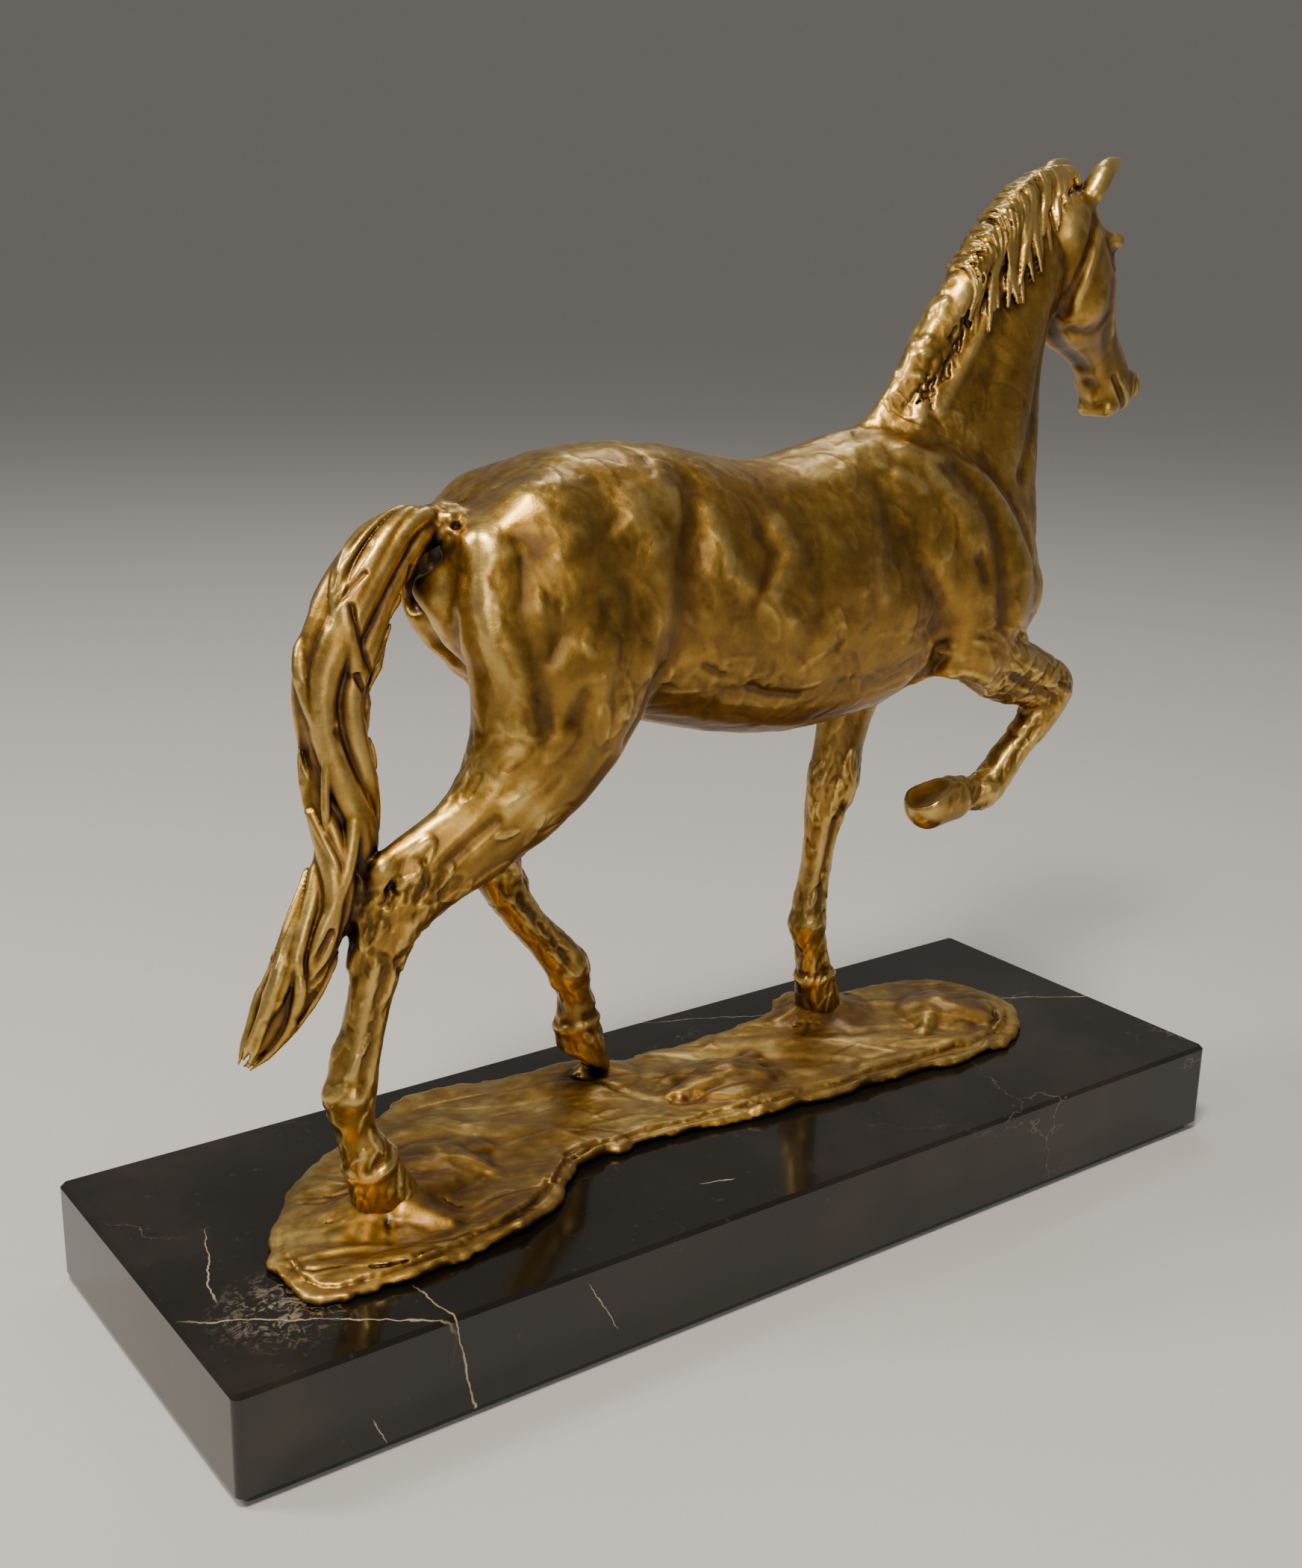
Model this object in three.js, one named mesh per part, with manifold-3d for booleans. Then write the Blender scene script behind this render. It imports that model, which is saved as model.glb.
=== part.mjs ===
// A walking bronze horse on a rough cast ground plate, bolted to a polished black marble slab.
// Millimetres, +Z up. The horse faces +X and its left side is towards +Y.
// The origin is the middle of the underside of the felt that the slab stands on.

import * as THREE from 'three';
import { mergeVertices } from 'three/addons/utils/BufferGeometryUtils.js';
import Module from 'manifold-3d';

const wasm = await Module();
wasm.setup();

// ---------------------------------------------------------------------------------------------
// Driving dimensions
// ---------------------------------------------------------------------------------------------

const SLAB_LENGTH = 460;
const SLAB_WIDTH = 160;
const SLAB_THICKNESS = 38;
const SLAB_CORNER_RADIUS = 3;
const SLAB_ARRIS = 1.5;
const FELT_THICKNESS = 2;
const FELT_INSET = 3;

const WITHERS_HEIGHT = 268;      // hoof soles to the top of the withers
const HORSE_CENTRE_Y = 12;       // the horse stands a little off the slab's centre line
const BRONZE_WALL = 5;           // wall of the hollow castings
const GROUND_THICKNESS = 5;      // cast ground, between its mounds
const GROUND_BEVEL = 1.2;
const MOUND_RISE = 2;            // ground under each hoof, above the plate

const GAP = 0.3;                 // weld seams, glue lines and every other pair of touching faces

const HOOF_PIN_DIAMETER = 4;
const HOOF_PIN_IN_HOOF = 9;
const HOOF_PIN_IN_GROUND = 5;

const STUD_DIAMETER = 8;
const STUD_ENGAGEMENT = 6;       // depth of the stud in the ground plate
const STUD_CHAMFER = 0.8;
const STUD_BOSS_RISE = 4;        // the ground swells over each stud
const STUD_HOLE_CLEARANCE = 1;   // on the diameter, through the slab
const STUD_PAST_NUT = 2.5;
const WASHER_DIAMETER = 24;
const WASHER_THICKNESS = 2;
const NUT_ACROSS_FLATS = 13;
const NUT_HEIGHT = 6.5;
const COUNTERBORE_CLEARANCE = 4; // on the washer's diameter
const COUNTERBORE_HEADROOM = 3;  // between the stud's end and the felt

// ---------------------------------------------------------------------------------------------
// Levels and scale that follow from them
// ---------------------------------------------------------------------------------------------

const SLAB_BOTTOM = FELT_THICKNESS + GAP;
const SLAB_TOP = SLAB_BOTTOM + SLAB_THICKNESS;
const GROUND_BOTTOM = SLAB_TOP + GAP;
const GROUND_TOP = GROUND_BOTTOM + GROUND_THICKNESS;
const SOLE_LEVEL = GROUND_TOP + MOUND_RISE + GAP;

// The rings below are drawn for a horse 268 mm high at the withers, from its own soles up.
const DRAWN_WITHERS = 268;
const HORSE_SCALE = WITHERS_HEIGHT / DRAWN_WITHERS;
const FAR = 1000;                // longer than anything here, for cutting blocks

// ---------------------------------------------------------------------------------------------
// Materials
// ---------------------------------------------------------------------------------------------

const bronze = new THREE.MeshStandardMaterial({ color: 0x8a6a3a, roughness: 0.42, metalness: 0.9 });
const bronzeDark = new THREE.MeshStandardMaterial({ color: 0x5d4527, roughness: 0.5, metalness: 0.85 });
const bronzeGround = new THREE.MeshStandardMaterial({ color: 0x6b4a30, roughness: 0.6, metalness: 0.75 });
const marble = new THREE.MeshStandardMaterial({ color: 0x141210, roughness: 0.12, metalness: 0 });
const felt = new THREE.MeshStandardMaterial({ color: 0x22301f, roughness: 0.95, metalness: 0 });
const steel = new THREE.MeshStandardMaterial({ color: 0xa8a9ab, roughness: 0.35, metalness: 1 });
const brass = new THREE.MeshStandardMaterial({ color: 0xb89a5c, roughness: 0.35, metalness: 1 });

// ---------------------------------------------------------------------------------------------
// Helpers
// ---------------------------------------------------------------------------------------------

// A closed three.js geometry as a solid that can be joined and cut.
function solid(geometry) {
  const bare = new THREE.BufferGeometry();
  bare.setAttribute('position', geometry.getAttribute('position'));
  bare.setIndex(geometry.getIndex());
  const merged = mergeVertices(bare);
  return new wasm.Manifold(new wasm.Mesh({
    numProp: 3,
    vertProperties: new Float32Array(merged.getAttribute('position').array),
    triVerts: new Uint32Array(merged.getIndex().array),
  }));
}

// A solid as a named mesh, the form in which every piece leaves this file.
function piece(name, shape, material) {
  const result = shape.getMesh();
  const geometry = new THREE.BufferGeometry();
  geometry.setAttribute('position', new THREE.BufferAttribute(result.vertProperties, result.numProp));
  geometry.setIndex(new THREE.BufferAttribute(result.triVerts, 1));
  geometry.computeVertexNormals();
  const mesh = new THREE.Mesh(geometry, material);
  mesh.name = name;
  return mesh;
}

function join(shapes) {
  return shapes.reduce((total, shape) => total.add(shape));
}

function cutAway(shape, tools) {
  return tools.reduce((left, tool) => left.subtract(tool), shape);
}

// An upright cylinder from one level to another.
function upright(x, y, diameter, bottom, top, sides = 24) {
  const geometry = new THREE.CylinderGeometry(diameter / 2, diameter / 2, top - bottom, sides);
  geometry.rotateX(Math.PI / 2);
  geometry.translate(x, y, (top + bottom) / 2);
  return solid(geometry);
}

// Everything on the far side of a plane, as a very large block.
function beyond(point, normal) {
  const geometry = new THREE.BoxGeometry(FAR, FAR, FAR);
  geometry.translate(0, 0, FAR / 2);
  const turn = new THREE.Quaternion().setFromUnitVectors(new THREE.Vector3(0, 0, 1), normal);
  geometry.applyQuaternion(turn);
  geometry.translate(point.x, point.y, point.z);
  return solid(geometry);
}

// The horse's own place (x forward, y to its left, z above its soles) in the part's frame.
function onHorse(x, y, z) {
  const place = new THREE.Vector3(x, y, z).multiplyScalar(HORSE_SCALE);
  return place.add(new THREE.Vector3(0, HORSE_CENTRE_Y, SOLE_LEVEL));
}

// A limb is a skin over rings. Each ring is [x, y, z, half width, half depth, turn], drawn on the
// horse; turn is the heading of the limb to the horse's left, in degrees. The rings are joined by
// one smooth curve. Width runs across the horse, and depth runs from the top or front of the limb
// (negative) to its underside or back (positive).
function limbFrame(rings, along) {
  const stations = rings.map((ring, index) => index);
  const spline = new THREE.CubicInterpolant(stations, rings.flat(), rings[0].length);
  const last = rings.length - 1;
  const step = 0.02;
  const before = Array.from(spline.evaluate(Math.max(along - step, 0)));
  const after = Array.from(spline.evaluate(Math.min(along + step, last)));
  const here = Array.from(spline.evaluate(along));
  const centre = onHorse(...here.slice(0, 3));
  const tangent = onHorse(...after.slice(0, 3)).sub(onHorse(...before.slice(0, 3))).normalize();
  const heading = THREE.MathUtils.degToRad(here[5] ?? 0);
  const side = new THREE.Vector3(-Math.sin(heading), Math.cos(heading), 0);
  side.addScaledVector(tangent, -side.dot(tangent)).normalize();
  const depth = new THREE.Vector3().crossVectors(side, tangent);
  return { centre, tangent, side, depth, halfWidth: here[3], halfDepth: here[4] };
}

// square above 2 makes the section boxier; egg above 0 makes it wider on the underside.
function limb(rings, { sides = 20, stepsPerSpan = 3, square = 2, egg = 0, grow = 0 } = {}) {
  const spans = rings.length - 1;
  const steps = spans * stepsPerSpan;
  const geometry = new THREE.CylinderGeometry(1, 1, 1, sides, steps);
  const position = geometry.getAttribute('position');
  const frames = Array.from({ length: steps + 1 }, (unused, index) => limbFrame(rings, index / stepsPerSpan));
  const power = 2 / square;
  for (let i = 0; i < position.count; i += 1) {
    const frame = frames[Math.round((position.getY(i) + 0.5) * steps)];
    const across = Math.sign(position.getX(i)) * Math.abs(position.getX(i)) ** power;
    const down = Math.sign(position.getZ(i)) * Math.abs(position.getZ(i)) ** power;
    const width = (frame.halfWidth * HORSE_SCALE + grow) * (1 + egg * down);
    const depth = frame.halfDepth * HORSE_SCALE + grow;
    const point = frame.centre.clone();
    point.addScaledVector(frame.side, across * width);
    point.addScaledVector(frame.depth, down * depth);
    position.setXYZ(i, point.x, point.y, point.z);
  }
  return solid(geometry);
}

// A limb cut by a plane across it: the stump stays with the casting that it grows from, the rest
// is the limb's own casting, and keepOut is the room which that casting needs.
function split(rings, along, options = {}) {
  const { centre, tangent } = limbFrame(rings, along);
  const whole = limb(rings, options);
  const seam = beyond(centre, tangent);
  const pastSeam = beyond(centre.clone().addScaledVector(tangent, GAP), tangent);
  const grown = limb(rings, { ...options, grow: GAP });
  return {
    stump: whole.subtract(seam),
    rest: whole.intersect(pastSeam),
    keepOut: grown.intersect(seam),
  };
}

// The same rings on the other side of the horse.
function mirrored(rings) {
  return rings.map(([x, y, z, ...sizes]) => [x, -y, z, ...sizes]);
}

// A rounded lump of flesh.
function bulge(x, y, z, length, width, height) {
  const geometry = new THREE.SphereGeometry(1, 12, 8);
  geometry.scale(length * HORSE_SCALE, width * HORSE_SCALE, height * HORSE_SCALE);
  const centre = onHorse(x, y, z);
  geometry.translate(centre.x, centre.y, centre.z);
  return solid(geometry);
}

// The same, placed on the head.
function headBulge(along, across, down, length, width, height) {
  const centre = onHead(along, across, down);
  return bulge(centre.x, centre.y, centre.z, length, width, height);
}

// ---------------------------------------------------------------------------------------------
// Barrel: rings from the buttocks to the chest, as [x, top, bottom, half width]
// ---------------------------------------------------------------------------------------------

const BARREL_OUTLINE = [
  [-114, 228, 214, 8],
  [-108, 237, 200, 20],
  [-94, 247, 184, 30],
  [-74, 256, 170, 36],
  [-46, 261, 163, 39],
  [-18, 259, 157, 41],
  [12, 252, 148, 42],
  [42, 251, 143, 43],
  [72, 256, 145, 42],
  [100, 262, 150, 40],
  [126, 258, 153, 38],
  [149, 244, 158, 35],
  [166, 228, 168, 29],
  [177, 214, 182, 19],
  [182, 204, 192, 8],
];

const barrelRings = BARREL_OUTLINE.map(([x, top, bottom, halfWidth]) =>
  [x, 0, (top + bottom) / 2, halfWidth, (top - bottom) / 2]);
const barrelForm = { sides: 22, stepsPerSpan: 2, square: 2.2 };

// ---------------------------------------------------------------------------------------------
// Neck and head
// ---------------------------------------------------------------------------------------------

const neckRings = [
  [126, 0, 215, 30, 58, 0],
  [135, 0, 238, 27, 53, 0],
  [146, 0, 262, 22, 41, 2],
  [156, 1, 285, 18.5, 31, 5],
  [168, 3, 307, 16, 25.5, 9],
  [182, 5, 326, 15, 22.5, 13],
  [199, 8, 339, 14, 18, 17],
  [211, 11, 341, 12, 14, 17],
];
const neckForm = { sides: 18, stepsPerSpan: 2, egg: 0.22 };

const HEAD_TURN = 17;            // degrees to the horse's left
const HEAD_PITCH = 50;           // degrees below the horizontal
const HEAD_POLL = [206, 7, 357];
const headHeading = THREE.MathUtils.degToRad(HEAD_TURN);
const headDrop = THREE.MathUtils.degToRad(HEAD_PITCH);
const headForward = new THREE.Vector3(
  Math.cos(headHeading) * Math.cos(headDrop),
  Math.sin(headHeading) * Math.cos(headDrop),
  -Math.sin(headDrop),
);
const headSide = new THREE.Vector3(-Math.sin(headHeading), Math.cos(headHeading), 0);
const headDown = new THREE.Vector3().crossVectors(headSide, headForward);

// A place on the head: along it from the poll, across to its left, and down from the face line.
function onHead(along, across, down) {
  const place = new THREE.Vector3(...HEAD_POLL);
  place.addScaledVector(headForward, along);
  place.addScaledVector(headSide, across);
  place.addScaledVector(headDown, down);
  return place;
}

// From the poll to the lips, as [distance along, face line, half depth, half width].
const HEAD_OUTLINE = [
  [-6, 6, 10, 9],
  [2, 0, 17, 14],
  [16, -3, 22, 18],
  [30, -4, 24.5, 20],
  [46, -3, 23, 17],
  [60, -1, 18, 13.5],
  [75, 0, 14, 11],
  [90, 0, 12.5, 11.5],
  [102, 1, 12, 12],
  [111, 5, 8, 9],
  [114, 9, 4, 5],
];

function ringOnHead(along, down, halfDepth, halfWidth) {
  return [...onHead(along, 0, down), halfWidth, halfDepth, HEAD_TURN];
}

const headRings = HEAD_OUTLINE.map(([along, face, halfDepth, halfWidth]) =>
  ringOnHead(along, face + halfDepth, halfDepth, halfWidth));
const headForm = { sides: 18, stepsPerSpan: 2, square: 2.3 };

const EAR_SPREAD = 11;
function earRings(side) {
  const root = onHead(5, side * (EAR_SPREAD - 2), 8);
  const middle = onHead(1, side * EAR_SPREAD, -6);
  const upper = onHead(2, side * (EAR_SPREAD + 1), -15);
  const tip = onHead(6, side * (EAR_SPREAD + 1), -25);
  return [
    [...root, 4.5, 4.5, HEAD_TURN],
    [...middle, 5, 3.6, HEAD_TURN],
    [...upper, 4.2, 3, HEAD_TURN],
    [...tip, 0.8, 0.8, HEAD_TURN],
  ];
}
const earForm = { sides: 10, stepsPerSpan: 2 };

// The mane is a raised band that lies along the crest and ends in a forelock.
const maneRings = [
  [92, -1, 262, 3, 4, 0],
  [106, -2, 275, 5.5, 6.5, 0],
  [117, -2, 288, 7, 7.5, 0],
  [128, -2, 303, 7.5, 8, 4],
  [142, -1, 320, 8, 8, 8],
  [159, 1, 338, 8, 7.5, 12],
  [176, 4, 351, 7.5, 6.5, 15],
  [194, 6, 358, 7, 5.5, 17],
  [208, 8, 358, 5, 4.5, 17],
];
const maneForm = { sides: 10, stepsPerSpan: 2 };

// ---------------------------------------------------------------------------------------------
// Legs, each from inside the body to the ground
// ---------------------------------------------------------------------------------------------

const shoulderRings = [
  [98, -22, 248, 6, 14],
  [112, -26, 226, 13, 27],
  [128, -27, 200, 15, 33],
  [134, -26, 178, 14, 29],
  [128, -25, 160, 8, 16],
];

const rightForearmRings = [
  [122, -24, 190, 14, 30],
  [132, -26, 172, 13.5, 21],
  [150, -26, 163, 12, 15.5],
  [167, -26, 156, 10.5, 12.5],
  [181, -26, 150, 10.5, 11.5],
  [190, -26, 144, 6, 7],
];
const rightForeCannonRings = [
  [189, -26, 155, 5, 5],
  [184, -26, 148, 9, 9],
  [176, -26, 137, 8, 8.5],
  [165, -25, 124, 6.3, 7],
  [155, -24, 113, 7, 7.5],
  [147, -24, 107, 8, 9],
  [138, -24, 106, 6.3, 6.5],
  [130, -24, 107, 7.6, 8],
  [121, -24, 108, 8.8, 8.5],
  [110, -24, 109, 9.2, 8.8],
];

const leftForelegRings = [
  [122, 22, 190, 15, 30],
  [117, 23, 168, 14, 22],
  [111, 23, 146, 11, 16],
  [106, 23, 124, 9.3, 12],
  [103, 23, 106, 10, 12],
  [100, 23, 94, 8.2, 9.5],
  [97, 23, 77, 6.2, 7.5],
  [94, 23, 58, 6, 7.2],
  [92, 23, 43, 8, 9],
  [95, 23, 29, 6.6, 7.2],
  [98, 23, 17, 8.6, 9.6],
  [101, 23, 0, 9.6, 11.5],
  [103, 23, -12, 10, 12.5],
];

const rightHindLegRings = [
  [-64, -18, 232, 16, 40],
  [-66, -23, 205, 19, 45],
  [-71, -25, 178, 18.5, 38],
  [-84, -26, 152, 15, 27],
  [-104, -26, 132, 12, 18],
  [-124, -26, 119, 10, 13.5],
  [-139, -25, 106, 9, 12.5],
  [-145, -25, 88, 7, 9],
  [-150, -25, 68, 6.5, 7.8],
  [-156, -25, 46, 8.5, 9.5],
  [-154, -25, 31, 6.8, 7.5],
  [-149, -25, 18, 9.3, 10.2],
  [-143, -25, 0, 10.6, 12.8],
  [-139, -25, -12, 11, 14],
];

const leftHindLegRings = [
  [-58, 18, 232, 16, 38],
  [-54, 23, 205, 18, 42],
  [-46, 25, 178, 17, 34],
  [-45, 25, 154, 14, 25],
  [-56, 24, 132, 11.5, 18],
  [-68, 23, 114, 10, 14],
  [-70, 22, 101, 9, 11],
  [-60, 23, 82, 7, 8],
  [-46, 24, 64, 6.3, 7.5],
  [-34, 24, 49, 8.2, 9],
  [-30, 25, 36, 6.8, 7.5],
  [-29, 25, 24, 8.6, 9.4],
  [-26, 25, 8, 9.5, 11],
  [-24, 25, -6, 9.8, 12],
];

const tailRings = [
  [-86, 0, 228, 8, 9],
  [-101, -1, 235, 9, 9.5],
  [-117, -2, 233, 10, 11],
  [-132, -3, 221, 11, 14.5],
  [-143, -5, 203, 11, 16],
  [-150, -7, 184, 10.5, 15],
  [-150, -10, 162, 10, 14],
  [-150, -14, 142, 9.5, 13],
  [-155, -18, 122, 9, 12],
  [-166, -20, 103, 8.5, 12],
  [-176, -21, 86, 7.5, 11],
  [-186, -21, 71, 5, 7],
  [-195, -21, 60, 1.5, 2],
];

// ---------------------------------------------------------------------------------------------
// Ground: outline of the cast plate, seen from above and drawn with the horse
// ---------------------------------------------------------------------------------------------

const GROUND_OUTLINE = [
  [-191, -29], [-188, -61], [-142, -66], [-92, -55], [-66, -34], [-20, -33], [40, -41],
  [100, -44], [152, -45], [180, -26], [184, 4], [170, 24], [140, 33], [67, 32], [6, 33],
  [-43, 44], [-93, 52], [-122, 36], [-160, 12],
];

// Where each hoof is pinned, on the horse.
const PINNED_HOOVES = [
  { name: 'right_hind_hoof_pin', x: -141, y: -25 },
  { name: 'left_hind_hoof_pin', x: -24, y: 25 },
  { name: 'left_fore_hoof_pin', x: 103, y: 23 },
];

// Where the studs come up, on the horse.
const STUD_PLACES = [
  { end: 'rear', x: -112, y: -8 },
  { end: 'middle', x: 22, y: -8 },
  { end: 'front', x: 148, y: -8 },
];

// ---------------------------------------------------------------------------------------------
// Horse
// ---------------------------------------------------------------------------------------------

const HEEL_LIFT = 32;            // degrees between the left hind sole and the ground
const TOE_POINT = -17;

// Where each section is welded to the next: how far along its rings, counted in rings.
const HIND_LEG_SEAM = 3.4;
const LEFT_FORE_SEAM = 2.4;
const RIGHT_FORE_SEAM = 1.6;
const TAIL_SEAM = 1.2;
const NECK_SEAM = 1.5;

const legForm = { sides: 14, stepsPerSpan: 2 };
const rightHind = split(rightHindLegRings, HIND_LEG_SEAM, legForm);
const leftHind = split(leftHindLegRings, HIND_LEG_SEAM, legForm);
const leftFore = split(leftForelegRings, LEFT_FORE_SEAM, legForm);
const rightForearm = split(rightForearmRings, RIGHT_FORE_SEAM, legForm);
const rightForeCannon = limb(rightForeCannonRings, legForm);
const tail = split(tailRings, TAIL_SEAM, { sides: 12, stepsPerSpan: 2 });

const barrel = limb(barrelRings, barrelForm);
const shoulders = [shoulderRings, mirrored(shoulderRings)].map((rings) => limb(rings, legForm));
const chestMuscles = [-1, 1].map((side) => bulge(159, side * 15, 192, 19, 17, 24));
const croupMuscles = [-1, 1].map((side) => bulge(-68, side * 17, 224, 34, 20, 30));

const neck = split(neckRings, NECK_SEAM, neckForm);
const head = limb(headRings, headForm);
const ears = [-1, 1].map((side) => limb(earRings(side), earForm));
const cheeks = [-1, 1].map((side) => headBulge(32, side * 9, 28, 17, 10, 17));
const brows = [-1, 1].map((side) => headBulge(25, side * 17, 5, 6, 4, 4.5));
const nostrils = [-1, 1].map((side) => headBulge(105, side * 8, 7, 7, 5, 6));
const neckSeam = limbFrame(neckRings, NECK_SEAM);
const mane = limb(maneRings, maneForm);
const maneOnBody = mane.subtract(beyond(neckSeam.centre, neckSeam.tangent));
const maneOnNeck = mane.intersect(beyond(
  neckSeam.centre.clone().addScaledVector(neckSeam.tangent, GAP), neckSeam.tangent));

// The body and the neck are hollow shells, and their hollows meet at the seam between them.
const barrelHollow = limb(barrelRings.slice(1, -1), {
  ...barrelForm,
  sides: 14,
  stepsPerSpan: 1,
  grow: -BRONZE_WALL,
});
const neckHollow = limb(neckRings.slice(0, -2), { ...neckForm, sides: 12, grow: -BRONZE_WALL });

const bodyOutside = join([
  barrel, neck.stump, rightHind.stump, leftHind.stump, leftFore.stump, rightForearm.stump, tail.stump,
  maneOnBody, ...shoulders, ...chestMuscles, ...croupMuscles,
]);
const bodyCasting = cutAway(bodyOutside, [
  rightHind.keepOut, leftHind.keepOut, leftFore.keepOut, rightForearm.keepOut, tail.keepOut,
  beyond(neckSeam.centre, neckSeam.tangent), barrelHollow.add(neckHollow),
]);

const headNeckOutside = join([neck.rest, head, maneOnNeck, ...ears, ...cheeks, ...brows, ...nostrils]);
const headNeckCasting = headNeckOutside.subtract(neckHollow);

const PIN_SIDES = 20;

// Soles are flat: those on the ground end just above their mound.
const belowSoles = beyond(onHorse(0, 0, 0), new THREE.Vector3(0, 0, -1));

function pinHole(hoof) {
  const place = onHorse(hoof.x, hoof.y, 0);
  return upright(place.x, place.y, HOOF_PIN_DIAMETER + 2 * GAP, SOLE_LEVEL - HOOF_PIN_IN_GROUND - GAP,
    SOLE_LEVEL + HOOF_PIN_IN_HOOF + GAP, PIN_SIDES);
}
const pinHoles = PINNED_HOOVES.map(pinHole);

// The left hind hoof stands on its toe with the heel lifted.
const toeTilt = THREE.MathUtils.degToRad(HEEL_LIFT);
const towardsToe = new THREE.Vector3(-Math.sin(toeTilt), 0, -Math.cos(toeTilt));
const belowToe = beyond(onHorse(TOE_POINT, 0, 0), towardsToe);

const rightHindLegCasting = rightHind.rest.subtract(belowSoles).subtract(pinHoles[0]);
const leftHindLegCasting = cutAway(leftHind.rest, [belowSoles, belowToe, pinHoles[1]]);
const leftForelegCasting = leftFore.rest.subtract(belowSoles).subtract(pinHoles[2]);
const rightForelegCasting = rightForearm.rest.add(rightForeCannon);
const tailCasting = tail.rest.subtract(rightHind.keepOut);

// ---------------------------------------------------------------------------------------------
// Ground plate, slab and what holds them together
// ---------------------------------------------------------------------------------------------

const HOOF_MOUND_RADIUS = 22;
const STUD_MOUND_RADIUS = 20;
const OUTLINE_STEPS = 57;

function groundShape() {
  const points = GROUND_OUTLINE.map(([x, y]) => onHorse(x, y, 0).setZ(0));
  const outline = new THREE.CatmullRomCurve3(points, true).getPoints(OUTLINE_STEPS);
  return new THREE.Shape(outline.slice(0, -1).map((point) => new THREE.Vector2(point.x, point.y)));
}

function mound(x, y, rise, radius) {
  const geometry = new THREE.SphereGeometry(1, 18, 8);
  geometry.rotateX(Math.PI / 2);
  geometry.scale(radius, radius, rise);
  const centre = onHorse(x, y, 0);
  geometry.translate(centre.x, centre.y, GROUND_TOP);
  return solid(geometry);
}

function makeGround() {
  const geometry = new THREE.ExtrudeGeometry(groundShape(), {
    depth: GROUND_THICKNESS - GROUND_BEVEL,
    bevelThickness: GROUND_BEVEL,
    bevelSize: GROUND_BEVEL,
    bevelOffset: -GROUND_BEVEL,
    bevelSegments: 1,
  });
  geometry.translate(0, 0, GROUND_BOTTOM);
  const bevelBelow = beyond(new THREE.Vector3(0, 0, GROUND_BOTTOM), new THREE.Vector3(0, 0, -1));
  const hoofMounds = PINNED_HOOVES.map((hoof) => mound(hoof.x, hoof.y, MOUND_RISE, HOOF_MOUND_RADIUS));
  const studMounds = STUD_PLACES.map((stud) => mound(stud.x, stud.y, STUD_BOSS_RISE, STUD_MOUND_RADIUS));
  const flatUnderSoles = PINNED_HOOVES.map((hoof) => {
    const place = onHorse(hoof.x, hoof.y, 0);
    return upright(place.x, place.y, 2 * HOOF_MOUND_RADIUS, SOLE_LEVEL - GAP, SOLE_LEVEL + STUD_BOSS_RISE);
  });
  const plate = join([solid(geometry), ...hoofMounds, ...studMounds]);
  return cutAway(plate, [bevelBelow, ...flatUnderSoles, ...pinHoles, ...STUD_PLACES.map(studHoleInGround)]);
}

function studHoleInGround(stud) {
  const place = onHorse(stud.x, stud.y, 0);
  const top = GROUND_BOTTOM + STUD_ENGAGEMENT + GAP;
  return upright(place.x, place.y, STUD_DIAMETER + 2 * GAP, GROUND_BOTTOM - 1, top);
}

// A flat block with rounded upright corners and, where bevel is given, a small chamfer all round.
function block(length, width, bottom, top, corner, bevel) {
  const x = length / 2;
  const y = width / 2;
  const shape = new THREE.Shape();
  shape.moveTo(-x + corner, -y);
  shape.lineTo(x - corner, -y);
  shape.absarc(x - corner, -y + corner, corner, -Math.PI / 2, 0);
  shape.lineTo(x, y - corner);
  shape.absarc(x - corner, y - corner, corner, 0, Math.PI / 2);
  shape.lineTo(-x + corner, y);
  shape.absarc(-x + corner, y - corner, corner, Math.PI / 2, Math.PI);
  shape.lineTo(-x, -y + corner);
  shape.absarc(-x + corner, -y + corner, corner, Math.PI, Math.PI * 1.5);
  const geometry = new THREE.ExtrudeGeometry(shape, {
    depth: top - bottom - 2 * bevel,
    bevelEnabled: bevel > 0,
    bevelThickness: bevel,
    bevelSize: bevel,
    bevelOffset: -bevel,
    bevelSegments: 1,
    curveSegments: 4,
  });
  geometry.translate(0, 0, bottom + bevel);
  return solid(geometry);
}

// Heights of the washer, nut and stud in their counterbore, from the washer's seat down.
const STACK = GAP + WASHER_THICKNESS + GAP + NUT_HEIGHT + STUD_PAST_NUT;
const SEAT_LEVEL = SLAB_BOTTOM + COUNTERBORE_HEADROOM + STACK;
const WASHER_TOP = SEAT_LEVEL - GAP;
const NUT_TOP = WASHER_TOP - WASHER_THICKNESS - GAP;
const STUD_BOTTOM = SEAT_LEVEL - STACK;
const STUD_TOP = GROUND_BOTTOM + STUD_ENGAGEMENT;

const COUNTERBORE_SIDES = 28;
const WASHER_SIDES = 24;
const NUT_SIDES = 6;
const STUD_SIDES = 20;

function makeSlab() {
  const slab = block(SLAB_LENGTH, SLAB_WIDTH, SLAB_BOTTOM, SLAB_TOP, SLAB_CORNER_RADIUS, SLAB_ARRIS);
  const drillings = STUD_PLACES.flatMap((stud) => {
    const { x, y } = onHorse(stud.x, stud.y, 0);
    return [
      upright(x, y, STUD_DIAMETER + STUD_HOLE_CLEARANCE, SLAB_BOTTOM - 1, SLAB_TOP + 1),
      upright(x, y, WASHER_DIAMETER + COUNTERBORE_CLEARANCE, SLAB_BOTTOM - 1, SEAT_LEVEL, COUNTERBORE_SIDES),
    ];
  });
  return cutAway(slab, drillings);
}

function makeFelt() {
  const length = SLAB_LENGTH - 2 * FELT_INSET;
  const width = SLAB_WIDTH - 2 * FELT_INSET;
  return block(length, width, 0, FELT_THICKNESS, SLAB_CORNER_RADIUS, 0);
}

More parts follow.
